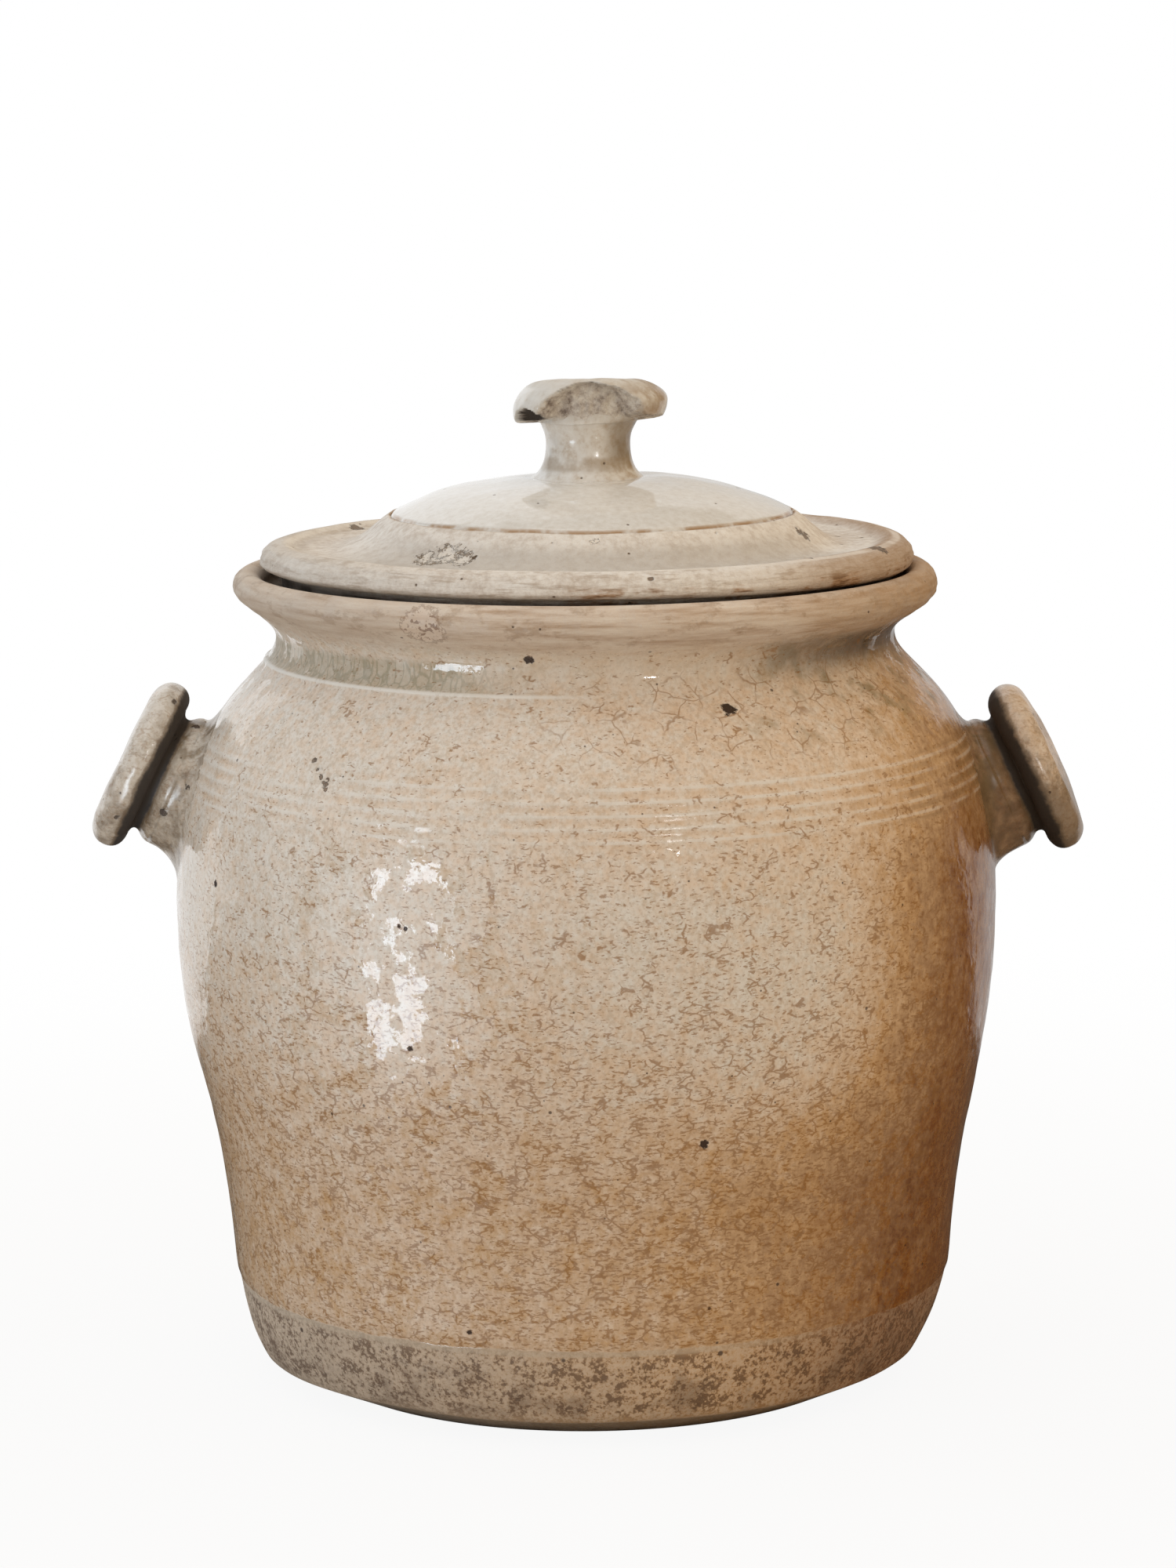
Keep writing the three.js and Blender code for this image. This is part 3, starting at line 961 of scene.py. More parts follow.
@dataclass(frozen=True)
class LugFinish(SaltGlaze):
    """Glaze of a lug: worn, pitted, and dark in its joint, from staining and from painted shade.

    Attributes:
        name: Name of the material.
        toasting: Warmth of the glaze on the pot's axis.
        slope: Change of warmth along X, per metre; to the right it is partly painted shade.
        stain: Strength of the brown stains.
        burnt_and_shaded: How far the lower half is browned on the flame side, partly as painted shade.
        worn: Colour of glaze that hands have dulled.
        brown: Colour of stains.
        drip: Colour of drips at the wall.
        soil: Colour of the soiled lower half, partly painted shade on the right lug.
        smear_and_shade: Colour of a thin stain round the joint, partly painted shade.
        holes: Places of burst pits.
    """

    name: str = "lug_button_glaze"
    toasting: float = 0.20
    slope: float = 1.9
    stain: float = 0.42
    burnt_and_shaded: float = 0.36
    worn: Colour = (0.50, 0.48, 0.45)
    brown: Colour = (0.17, 0.10, 0.045)
    drip: Colour = (0.18, 0.118, 0.052)
    soil: Colour = (0.15, 0.095, 0.05)
    smear_and_shade: Colour = (0.17, 0.112, 0.058)
    holes: tuple[Mark, ...] = (
        Mark((-0.1229, -0.0214, 0.1875), 0.0017), Mark((-0.1259, -0.0212, 0.1838), 0.0009),
        Mark((-0.1315, -0.0202, 0.1798), 0.0014), Mark((-0.1217, -0.0070, 0.2045), 0.0014),
    )

    def material(self) -> bpy.types.Material:
        """Lay out a lug's material.

        Returns:
            The finished material.
        """
        made, bench = new_material(self.name)
        x, y, z = bench.axes()
        # Warmer towards the right, partly painted shade.
        colour = bench.mix(0.22, self.ground(bench, self.toasting + x * self.slope), self.worn)
        colour = bench.mix(self.crazing(bench, 0.45) * 0.4, colour, self.line)
        stain = bench.noise(0.010, 4.0, 0.65, shift=5.0).step(0.46, 0.68)
        colour = bench.mix(stain * self.stain, colour, self.brown)
        streaks = bench.noise(0.0075, 3.0, 0.6, bench.stretched(1.0, 1.0, 0.3), 1.4).step(0.45, 0.56)
        joint = (x * x + y * y).math("SQRT").step(0.1320, 0.1250) * streaks
        colour = bench.mix(joint * 0.62, colour, self.drip)
        # Darker low down, more so on the right, partly painted shade.
        low = z.step(0.206, 0.172) * (0.12 + x.step(0.0, 0.1) * self.burnt_and_shaded)
        soiled = (bench.noise(0.0055, 4.0, 0.7, shift=6.5) - 0.5 + low).step(0.02, 0.36)
        colour = bench.mix(soiled * 0.66, colour, self.soil)
        pits = bench.specks(0.0090, 0.5, 0.14, bench.warped(0.004, 0.0016))
        pits = pits.most(bench.marks(self.holes, 0.7, 1.0))
        fine = bench.specks(0.0048, 0.25, 0.13)
        colour = bench.mix(pits.most(fine) * 0.85, colour, self.iron)
        # The joint under the button darkens: staining with painted shade where shade falls between button
        # and stalk.
        dirt_and_shade = bench.layer("grime_and_shade")
        ragged = (bench.noise(0.006, 4.0, 0.7) - 0.5) * 0.7 * dirt_and_shade.step(0.02, 0.2)
        dirt_and_shade_share = (dirt_and_shade + ragged).step(0.12, 0.85)
        colour = bench.mix(dirt_and_shade_share.step(0.0, 0.45) * 0.75, colour, self.smear_and_shade)
        colour = bench.mix(dirt_and_shade_share.step(0.38, 0.95), colour, self.grime_and_shade)
        height = (bench.noise(0.0036, 2.0) * 0.00015 + bench.noise(0.014, 2.0) * 0.0009
                  - pits * 0.0006 - fine * 0.0002)
        bench.fire(colour, 0.22 + dirt_and_shade_share.most(pits) * 0.6 + stain * 0.1, height, self.index)
        return made


@dataclass(frozen=True)
class LidFinish(SaltGlaze):
    """Dry slip of the lid, glossy only inside the turned groove.

    Attributes:
        off_axis: How far the crown stands off the lid's middle.
        groove: Radius of the turned groove.
        crease: Radius of the pale crest inside the rolled edge, pale from a painted highlight.
        under_line: Height below which the lid carries painted shade.
        slip: Colours of the dry slip, from pale to dark.
        gloss: Colours of the glossy crown, from pale to dark.
        streak: Colour of throwing streaks on the edge.
        burnt_and_shaded: Colour of the edge on the flame side, partly painted shade.
        cool: Colour of the edge on the sheltered side.
        crest: Colour of a painted highlight along the crest.
        moat: Colour of painted shade in the moat, in front.
        rust: Colour of rusty patches under the edge.
        rust_core: Colour of their cores.
        seam: Colour of the stained groove.
        bared: Colour where the slip has flaked off.
        torn: Colour of torn edges.
        crack: Colour of cracks.
        pit: Colour of pits.
        painted_shade: Colour of painted shade underneath.
        flakes: Places where the slip has flaked off.
        cracks: Places of short dark cracks.
    """

    off_axis: float = 0.0024
    groove: float = 0.0625
    crease: float = 0.0945
    under_line: float = 0.2542
    slip: Palette = ((0.82, 0.79, 0.735), (0.74, 0.69, 0.625), (0.58, 0.505, 0.43))
    gloss: Palette = ((0.75, 0.735, 0.70), (0.71, 0.685, 0.64), (0.65, 0.615, 0.56))
    streak: Colour = (0.36, 0.26, 0.175)
    burnt_and_shaded: Colour = (0.36, 0.20, 0.085)
    cool: Colour = (0.52, 0.46, 0.39)
    crest: Colour = (0.84, 0.80, 0.73)
    moat: Colour = (0.46, 0.42, 0.37)
    rust: Colour = (0.38, 0.190, 0.066)
    rust_core: Colour = (0.13, 0.065, 0.025)
    seam: Colour = (0.36, 0.195, 0.07)
    bared: Colour = (0.84, 0.78, 0.69)
    torn: Colour = (0.26, 0.165, 0.085)
    crack: Colour = (0.15, 0.095, 0.055)
    pit: Colour = (0.15, 0.085, 0.04)
    painted_shade: Colour = (0.040, 0.027, 0.017)
    flakes: tuple[Mark, ...] = (
        Mark((-0.0480, -0.0552, 0.2650), 0.0040), Mark((-0.0425, -0.0580, 0.2654), 0.0046),
        Mark((-0.0372, -0.0622, 0.2646), 0.0036),
        Mark((0.003, -0.0645, 0.2668), 0.0022), Mark((0.052, 0.045, 0.2665), 0.0035),
    )
    cracks: tuple[Mark, ...] = (
        Mark((0.0885, -0.038, 0.2615), 0.0035), Mark((0.068, -0.026, 0.2665), 0.003),
        Mark((-0.073, 0.052, 0.2610), 0.003), Mark((-0.084, -0.0455, 0.2605), 0.0014),
    )

    def material(self) -> bpy.types.Material:
        """Lay out the lid's material.

        Returns:
            The finished material.
        """
        made, bench = new_material("lid_slip")
        x, y, z = bench.axes()
        aside = x - self.off_axis
        ring = (aside * aside + y * y).math("SQRT")
        crown = ring.step(self.groove + 0.0004, self.groove - 0.0004) * z.step(0.2655, 0.2675)
        clouds = bench.noise(0.030, 4.0, 0.6)
        mottle = bench.noise(0.0028, 4.0, 0.7)
        streak = bench.noise(0.016, 4.0, 0.7, bench.stretched(1.0, 1.0, 9.0), 0.3)
        edge = ring.step(0.086, 0.092)
        slip = bench.ramp(clouds * 0.4 + mottle * 0.6, list(zip((0.34, 0.48, 0.62), self.slip)))
        slip = self.edged(bench, slip, ring, edge, streak)
        glossy = bench.ramp(bench.noise(0.0022, 3.0, 0.65) + x * 0.15,
                            list(zip((0.34, 0.50, 0.70), self.gloss)))
        colour = bench.mix(crown, slip, glossy)
        broken = bench.noise(0.010, 3.0, 0.6, shift=6.0)
        line = ring.band(self.groove, 0.0003, 0.0010) * broken.step(0.36, 0.56) * z.step(0.262, 0.264)
        colour = bench.mix(line * 0.85, colour, self.seam)

        flakes = bench.marks(self.flakes, 0.85, 1.3)
        torn = bench.marks(self.flakes, 0.85, 1.3, 1.22) - flakes
        torn = torn * bench.noise(0.0050, 3.0, shift=8.0).step(0.49, 0.57)
        colour = bench.mix(flakes * mottle.step(0.36, 0.56) * 0.55, colour, self.bared)
        colour = bench.mix(torn * 0.8, colour, self.torn)
        cracks = bench.marks(self.cracks, 0.7, 1.2)
        colour = bench.mix(cracks * 0.8, colour, self.crack)
        pits = bench.specks(0.0100, 0.38, 0.100, bench.warped(0.004, 0.0014))
        pits = pits.most(bench.specks(0.0045, 0.16, 0.11))
        colour = bench.mix(pits * 0.85, colour, self.pit)
        # Painted shade under the lid, darkest under the rolled edge, so that the gap over the lip looks
        # dark.
        under = z.step(self.under_line, self.under_line - 0.0022)
        shade_share = under * (0.30 + ring.step(0.080, 0.090) * 0.40 + clouds.step(0.40, 0.60) * 0.25)
        colour = bench.mix(shade_share, colour, self.painted_shade)

        tooth = bench.noise(0.0015, 4.0, 0.7) * 0.00028 + streak * edge * 0.0007
        height = (bench.noise(0.014, 2.0) * (0.0007 - crown * 0.0006) + (1.0 - crown) * tooth
                  - pits * 0.0005 - flakes * 0.0006 - cracks.most(torn) * 0.0007)
        bench.fire(colour, 0.80 - crown * 0.735 + pits * 0.2, height, self.index)
        return made

    def edged(self, bench: Bench, slip: Wire, ring: Wire, edge: Wire, streak: Wire) -> Wire:
        """Streaks and rust of the rolled edge, a painted highlight on its crest and painted shade in the
        moat.

        Args:
            bench: Bench to lay the nodes on.
            slip: Colour of the dry slip.
            ring: Distance from the crown's axis.
            edge: 1 on the rolled edge, 0 inside it.
            streak: Level throwing streaks.

        Returns:
            The colour with its edge.
        """
        x, y, z = bench.axes()
        slip = bench.mix(edge * streak.step(0.50, 0.66) * 0.55, slip, self.streak)
        # Browner to the right, partly painted shade.
        slip = bench.mix(edge * x.step(0.035, 0.095) * 0.65, slip, self.burnt_and_shaded)
        slip = bench.mix(edge * x.step(-0.03, -0.09) * 0.45, slip, self.cool)
        # Painted highlight along the crest of the rolled edge.
        shoulder = z.step(0.2575, 0.2595) * bench.noise(0.020, 3.0, 0.6, shift=3.7).step(0.30, 0.55)
        slip = bench.mix(ring.band(self.crease, 0.0006, 0.0012) * shoulder * 0.55, slip, self.crest)
        # Painted shade in the moat, in front only.
        moat = ring.band(self.crease - 0.0170, 0.0060, 0.0060) * y.step(-0.015, -0.055)
        slip = bench.mix(moat * 0.62, slip, self.moat)
        stain = bench.noise(0.013, 4.0, 0.6, shift=1.0).step(0.42, 0.56)
        rust = stain * z.band(0.2545, 0.0015, 0.0035) * edge * x.step(-0.035, 0.01)
        rust = rust * streak.step(0.38, 0.58)
        slip = bench.mix(rust * 0.85, slip, self.rust)
        return bench.mix(rust * streak.step(0.52, 0.60) * 0.7, slip, self.rust_core)


@dataclass(frozen=True)
class KnobFinish(SaltGlaze):
    """Satin glaze of the knob, broken to rough clay where its cap is chipped.

    Attributes:
        brim: Height at which the cap starts.
        crest: Height at which its flat top starts.
        foot_line: Height of the stained line round the foot.
        glaze: Colours of the glaze, from pale to dark.
        clay: Colours of the broken clay, from dark to pale.
        dust: Colour of dust on the cap.
        stain: Colour of the cap's stains.
        shade: Colour of painted shade on the stem's right side.
        seam: Colour of the line round the foot.
        pit: Colour of pits.
        top: Colour of the flat top.
    """

    brim: float = 0.2985
    crest: float = 0.3085
    foot_line: float = 0.2862
    glaze: Palette = ((0.81, 0.79, 0.75), (0.74, 0.70, 0.64), (0.55, 0.45, 0.345))
    clay: Palette = ((0.22, 0.170, 0.135), (0.52, 0.455, 0.39), (0.74, 0.69, 0.61))
    dust: Colour = (0.50, 0.48, 0.43)
    stain: Colour = (0.30, 0.18, 0.085)
    shade: Colour = (0.22, 0.155, 0.09)
    seam: Colour = (0.34, 0.235, 0.13)
    pit: Colour = (0.12, 0.075, 0.04)
    top: Colour = (0.50, 0.46, 0.40)

    def material(self) -> bpy.types.Material:
        """Lay out the knob's material.

        Returns:
            The finished material.
        """
        made, bench = new_material("knob_glaze")
        x, _, z = bench.axes()
        cap = z.step(self.brim, self.brim + 0.002)
        # Darker towards the right, partly painted shade.
        glaze = bench.ramp(bench.noise(0.0032, 4.0, 0.62) + x * 4.0,
                           list(zip((0.30, 0.52, 0.74), self.glaze)))
        glaze = bench.mix(cap * 0.3, glaze, self.dust)
        stain = bench.noise(0.008, 4.0, 0.6, shift=2.0).step(0.40, 0.62) * x.step(0.009, 0.019)
        glaze = bench.mix(stain * cap * 0.6, glaze, self.stain)
        # Painted shade on the stem's right side.
        shade = x.step(0.004, 0.012) * (1.0 - cap) * z.step(0.283, 0.289)
        glaze = bench.mix(shade * 0.72, glaze, self.shade)
        foot = z.band(self.foot_line, 0.0012, 0.0018) * bench.noise(0.009, 3.0, 0.6).step(0.36, 0.58)
        glaze = bench.mix(foot * 0.5, glaze, self.seam)
        clay = bench.ramp(bench.noise(0.0042, 5.0, 0.7, shift=1.0),
                          list(zip((0.34, 0.48, 0.62), self.clay)))
        bare = (bench.layer("bare") + (bench.noise(0.003, 3.0, 0.6) - 0.5) * 0.5).step(0.35, 0.6)
        colour = bench.mix(bare, glaze, clay)
        # The knob's layer holds painted shade in the broken-out hollow.
        dirt_and_shade = bench.layer("grime_and_shade")
        colour = bench.mix(dirt_and_shade, colour, self.grime_and_shade)
        pits = bench.specks(0.0075, 0.3, 0.075)
        colour = bench.mix(pits * 0.8, colour, self.pit)
        flat = z.step(self.crest, self.crest + 0.0025)
        colour = bench.mix(flat * 0.22, colour, self.top)
        rough = (bench.noise(0.0040, 5.0, 0.7, shift=1.0) - 0.5) * 0.0012
        height = bench.noise(0.009, 2.0) * 0.0006 + bare * rough - pits * 0.0004
        bench.fire(colour, 0.16 + bare.most(dirt_and_shade).most(flat * 0.7) * 0.72, height, self.index)
        return made


@dataclass
class Vessel:
    """Thrown pot: flat base, swelling wall, drawn-in throat, rolled lip and the lid's ledge.

    Sizes are in metres; each rise is measured from the feature below it.
    """

    rest_radius: float = 0.0865
    foot_radius: float = 0.104
    foot_bevel: float = 0.0075
    heel_radius: float = 0.1135
    heel_rise: float = 0.0305
    heel_round: float = 0.010
    belly_rise: float = 0.112
    waist_straight: float = 0.059
    waist_lean: float = 0.0044
    belly_round_below: float = 0.052
    belly_round_above: float = 0.069
    throat_radius: float = 0.0965
    throat_rise: float = 0.0835
    throat_round_below: float = 0.015
    throat_round_above: float = 0.005
    lip_roll: float = 0.0049
    lip_roll_start: float = math.radians(-26.0)
    wall: float = 0.0095
    floor: float = 0.012
    floor_corner: float = 0.026
    ledge_width: float = 0.0095
    ledge_drop: float = 0.0039
    lip_inner_slope: float = 0.0033
    segments: int = 312
    left_bulge: float = 0.0010
    wander: float = 0.0006
    waist_shift: float = 0.0008
    lip_shift: float = 0.0013
    foot_wave: float = 0.0014
    foot_lift: float = 0.0012
    throwing_relief: float = 0.00013
    ring_relief: float = 0.00022
    neck_relief: float = 0.00075
    glaze_step: float = 0.00050
    lip_ring_relief: float = 0.00016
    lip_ring_pitch: float = 0.0027
    pit_depth: float = 0.0007
    finish: WallFinish = field(default_factory=WallFinish)

    def __post_init__(self) -> None:
        """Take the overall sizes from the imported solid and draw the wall's outside."""
        _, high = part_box("pot_body")
        self.belly_radius = high.y
        self.lip_height = high.z - self.lip_roll
        self.heel_height = self.foot_bevel + self.heel_rise
        self.belly_height = self.heel_height + self.belly_rise
        self.throat_height = self.belly_height + self.throat_rise
        self.bore = self.throat_radius - self.wall
        self.gallery = self.bore + self.ledge_width
        self.lip_radius = self.gallery + self.lip_inner_slope + self.lip_roll
        self.outside = self.wall_outline(14, 46, 128)

    def wall_outline(self, heel_steps: int, waist_steps: int, shoulder_steps: int) -> Outline:
        """Draw the outside from the foot bevel up to the throat.

        Args:
            heel_steps: Steps along the heel.
            waist_steps: Steps from the heel to the belly.
            shoulder_steps: Steps from the belly to the throat.

        Returns:
            The outline.
        """
        rise = Vector((self.waist_lean, self.waist_straight)).normalized() * self.heel_round
        bevel = Vector((self.foot_radius - self.rest_radius, self.foot_bevel))
        start = (bevel.normalized() * self.heel_round + rise) / 2.0
        drawn = Outline(self.foot_radius, self.foot_bevel)
        drawn.curve((self.foot_radius + start.x, self.foot_bevel + start.y),
                    (self.heel_radius - rise.x, self.heel_height - rise.y),
                    (self.heel_radius, self.heel_height), heel_steps)
        drawn.curve((self.heel_radius + self.waist_lean, self.heel_height + self.waist_straight),
                    (self.belly_radius, self.belly_height - self.belly_round_below),
                    (self.belly_radius, self.belly_height), waist_steps)
        return drawn.curve((self.belly_radius, self.belly_height + self.belly_round_above),
                           (self.throat_radius, self.throat_height - self.throat_round_below),
                           (self.throat_radius, self.throat_height), shoulder_steps)

    def radius_at(self, height: float) -> float:
        """Radius of the wall's outside at a height between foot and throat."""
        points = self.outside.points
        above = min(max(bisect_left(points, height, key=lambda p: p.z), 1), len(points) - 1)
        low, high = points[above - 1], points[above]
        return low.x + (high.x - low.x) * (height - low.z) / (high.z - low.z)

    def section(self) -> Outline:
        """Draw the whole section, up the outside and down the inside.

        Returns:
            The outline, from axis to axis.
        """
        drawn = Outline(0.0, 0.0).line(self.rest_radius, 0.0, 5)
        drawn.line(self.foot_radius, self.foot_bevel, 5)
        drawn.points += self.outside.points[1:]
        roll_start = self.lip_roll_start
        first = (self.lip_radius + self.lip_roll * math.cos(roll_start),
                 self.lip_height + self.lip_roll * math.sin(roll_start))
        drawn.curve((self.throat_radius, self.throat_height + self.throat_round_above),
                    (first[0] + self.lip_roll * math.sin(roll_start),
                     first[1] - self.lip_roll * math.cos(roll_start)), first, 18)
        drawn.arc((self.lip_radius, self.lip_height), self.lip_roll, roll_start, math.pi, 14)
        ledge = self.lip_height - self.ledge_drop
        drawn.line(self.gallery, ledge, 2).line(self.bore, ledge, 2)
        drawn.line(self.bore, self.throat_height, 3)
        outer = self.wall_outline(2, 16, 24).points[2:-1]
        inner = []
        for before, here, after in zip(outer, outer[1:], outer[2:]):
            along = (after - before).normalized() * self.wall
            inner.append(Vector((here.x - along.z, 0.0, here.z + along.x)))
        drawn.points += reversed(inner)
        corner = (inner[0].x, self.floor)
        drawn.curve(corner, corner, (corner[0] - self.floor_corner, self.floor), 10)
        return drawn.line(0.0, self.floor, 6)

    def shaped(self, point: Vector) -> Vector:
        """Move a point of the true section to where the potter's hand left it.

        Args:
            point: Point on the turned wall.

        Returns:
            The moved point.
        """
        radius = math.hypot(point.x, point.y)
        if radius < TINY:
            return point.copy()
        out = Vector((point.x / radius, point.y / radius, 0.0))
        z = point.z
        push = self.wander * unevenness(Vector((out.x, out.y, z * 7.0)), 0.8) * smooth(z, 0.004, 0.04)
        push += self.left_bulge * hump(z, self.belly_height, 0.04) * smooth(-out.x, 0.4, 1.0)
        outside = z > self.lip_height or radius > self.radius_at(z) - 0.5 * self.wall
        if outside and z > self.foot_bevel * 0.9:
            push += self.outside_relief(out, z)
        moved = point + out * push
        moved.x += self.waist_shift * smooth(z, 0.115, 0.085) * smooth(z, self.foot_bevel, 0.035)
        if outside:
            moved.x += self.lip_shift * hump(z, 0.2425, 0.0045)
        if radius > 0.9 * self.rest_radius and z < self.heel_height:
            share = min(z / self.foot_bevel, 1.0) * smooth(z, self.heel_height, self.foot_bevel)
            lift = self.foot_wave * unevenness(out, 0.55, 4.0) + self.foot_lift * smooth(out.x, 0.0, 0.9)
            moved.z += share * lift
            moved += out * (share * self.foot_wave * unevenness(out, 0.33, 9.0))
        return moved

    def is_inside(self, point: Vector) -> bool:
        """Whether a point of the true section lies inside the mouth."""
        radius = math.hypot(point.x, point.y)
        if point.z > self.throat_height:
            above_ledge = self.lip_height - self.ledge_drop - 1e-5 < point.z < self.lip_height - 0.0006
            return radius < (self.gallery + 0.0012 if above_ledge else self.bore + 1e-4)
        return point.z > self.floor - 1e-5 and radius < self.radius_at(point.z) - 0.5 * self.wall

    def outside_relief(self, out: Vector, z: float) -> float:
        """How far the outside stands proud of the true section.

        Args:
            out: Level unit direction from the axis.
            z: Height.

        Returns:
            The distance, in metres.
        """
        finish = self.finish
        push = self.throwing_relief * unevenness(Vector((out.x * 0.3, out.y * 0.3, z * 150.0)), 1.0)
        top = finish.band_base + finish.band_pitch * finish.band_count
        if finish.band_base - finish.band_pitch < z < top:
            bent = z - 0.0004 * unevenness(out, 0.6, 2.0)
            wave = math.cos((bent - finish.band_base) * math.tau / finish.band_pitch)
            inside = smooth(z, finish.band_base - 0.003, finish.band_base) * smooth(z, top, top - 0.003)
            push += self.ring_relief * wave * inside * (0.75 + 0.4 * unevenness(out, 0.3, 5.0))
        neck = finish.neck_line + 0.0004 * unevenness(out, 0.5, 7.0)
        push += self.neck_relief * hump(z, neck, 0.0009) * smooth(out.x, 0.35, -0.1)
        line = finish.foot.top + 0.0011 * unevenness(out, 0.16, 3.0)
        push -= self.glaze_step * smooth(z, line + 0.0006, line - 0.0008) * smooth(z, 0.004, 0.012)
        lip_rings = self.lip_ring_relief * math.cos(z * math.tau / self.lip_ring_pitch)
        lip_rings *= smooth(z, 0.2385, 0.2415)
        return push + lip_rings * (0.7 + 0.6 * unevenness(out, 0.2, 6.0)) * smooth(z, 0.2525, 0.2505)

    def build(self) -> None:
        """Turn, shape and dress the pot."""
        skin = self.section().spun(self.segments)
        inside = skin.verts.layers.float.new("inside")
        for vert in skin.verts:
            vert[inside] = float(self.is_inside(vert.co))
            vert.co = self.shaped(vert.co)
        for pit in (*self.finish.pits, self.finish.lip.scab):
            self.dent(skin, pit, self.pit_depth)
        settle(skin, "thrown_pot", self.finish.material(), "pot", "pot_glaze", "pot_body")

    @staticmethod
    def dent(skin: bmesh.types.BMesh, mark: Mark, depth: float) -> None:
        """Press a shallow uneven hollow into a skin.

        Args:
            skin: Skin to press.
            mark: Place and size of the hollow.
            depth: Depth at its middle.
        """
        place = Vector(mark.place)
        for vert in skin.verts:
            apart = (vert.co - place).length / mark.reach
            if apart < 1.4:
                inwards = Vector((-vert.co.x, -vert.co.y, 0.0)).normalized()
                vert.co += inwards * (depth * smooth(apart, 1.4, 0.3))


class Side(Enum):
    """Side of the pot that a lug stands on, with its direction along X."""

    RIGHT = 1.0
    LEFT = -1.0


@dataclass
class Lug:
    """Lug handle: a stalk that grows out of the wall, closed by a round-edged button.

    Sizes are in metres.
    """

    vessel: Vessel
    side: Side
    drop: float
    swell: float
    flare_below: float
    # How far up the button's edge the staining and painted shade on its back begin, as a share of half its
    # thickness.
    soiling_and_shade: float
    inset: float = 0.0
    tilt: float = math.radians(24.5)
    thickness: float = 0.0114
    stand_off: float = 0.012
    stalk_radius: float = 0.0212
    neck_radius: float = 0.0188
    flare_above: float = 0.0065
    segments: int = 112
    fillet_rows: int = 22
    collar_share: float = 0.40
    overlap: float = 0.003
    neck_flare: float = 0.0022
    skirt: float = 0.003
    fullness: float = 0.62
    sunk: float = 0.0022
    core_depth: float = 0.009
    root_lumps: Lumps = Lumps((0.0006, 0.012, 0.0), (0.00035, 0.005, 0.0))

    def __post_init__(self) -> None:
        """Take the button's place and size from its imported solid."""
        self.label = self.side.name.lower()
        low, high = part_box(f"{self.label}_lug_button")
        self.radius = (high.y - low.y) / 2.0
        sign = self.side.value
        self.out = Vector((sign * math.cos(self.tilt), 0.0, math.sin(self.tilt)))
        self.rise = Vector((-sign * math.sin(self.tilt), 0.0, math.cos(self.tilt)))
        self.along = self.rise.cross(self.out)
        self.centre = (low + high) / 2.0 - UP * self.drop - self.out * self.inset
        self.root = self.centre - self.out * (self.stand_off + self.thickness / 2.0)
        self.collar = self.collar_share * self.stand_off
        self.button_lumps = Lumps((0.0007, 0.016, sign), (0.0003, 0.006, 0.0))

    def placed(self, radius: float, angle: float, height: float) -> Vector:
        """Point given round the lug's axis, in the part's frame.

        Args:
            radius: Distance from the axis.
            angle: Angle round it, 0 at the top.
            height: Distance out from the root.

        Returns:
            The point.
        """
        across = self.rise * math.cos(angle) + self.along * math.sin(angle)
        return self.root + self.out * height + across * radius

    def on_wall(self, radius: float, angle: float) -> Vector:
        """Where a line along the lug's axis meets the shaped wall.

        Args:
            radius: Distance of the line from the axis.
            angle: Angle round it, 0 at the top.

        Returns:
            The point on the wall.
        """
        near, far = 0.02, -0.04
        for _ in range(26):
            middle = (near + far) / 2.0
            point = self.placed(radius, angle, middle)
            proud = math.hypot(point.x, point.y) > self.vessel.radius_at(point.z)
            near, far = (middle, far) if proud else (near, middle)
        return self.vessel.shaped(self.placed(radius, angle, far))

    def fillet(self, angle: float) -> list[Vector]:
        """Curve that runs down the stalk and out on to the wall.

        Args:
            angle: Angle round the lug's axis.

        Returns:
            Its points, from the collar to just under the wall's skin.
        """
        below = 0.5 - 0.5 * math.cos(angle)
        flare = self.flare_above + (self.flare_below - self.flare_above) * below
        start = self.placed(self.stalk_radius, angle, self.collar)
        end = self.on_wall(self.stalk_radius + flare, angle)
        past = self.on_wall(self.stalk_radius + flare + self.skirt, angle)
        tangent = (past - end).normalized()
        drop = (start - self.on_wall(self.stalk_radius, angle)).length
        leave = start - self.out * (self.fullness * drop)
        arrive = end - tangent * (self.fullness * flare)
        points = interpolate_bezier(start, leave, arrive, end, self.fillet_rows - 1)
        return points + [past - self.out * self.sunk]

    def root_outline(self) -> Outline:
        """Draw the stalk's section, with straight rows below the collar for the fillet.

        Returns:
            The outline, from axis to axis.
        """
        top, neck, stalk = self.stand_off, self.neck_radius, self.stalk_radius
        inner, bottom = top + self.overlap, self.collar - 1.0
        drawn = Outline(0.0, inner).line(neck + self.neck_flare, inner, 2)
        drawn.line(neck + self.neck_flare, top, 2)
        drawn.curve((neck + 0.0006, 0.97 * top), (neck, 0.92 * top), (neck, 0.84 * top), 8)
        drawn.curve((neck, 0.70 * top), (stalk, 0.66 * top), (stalk, self.collar), 10)
        return drawn.line(stalk, bottom, self.fillet_rows).line(0.0, bottom, 1)

    def build_root(self, material: bpy.types.Material) -> None:
        """Make the stalk with its luting, from the wall to the button.

        Args:
            material: Finish of the lug.
        """
        skin = self.root_outline().spun(self.segments)
        dirt_and_shade = skin.verts.layers.float.new("grime_and_shade")
        curves: dict[int, list[Vector]] = {}
        for vert in skin.verts:
            radius, height = math.hypot(vert.co.x, vert.co.y), vert.co.z
            angle = math.atan2(vert.co.y, vert.co.x)
            row = round((self.collar - height) * self.fillet_rows)
            if height > self.collar - TINY:
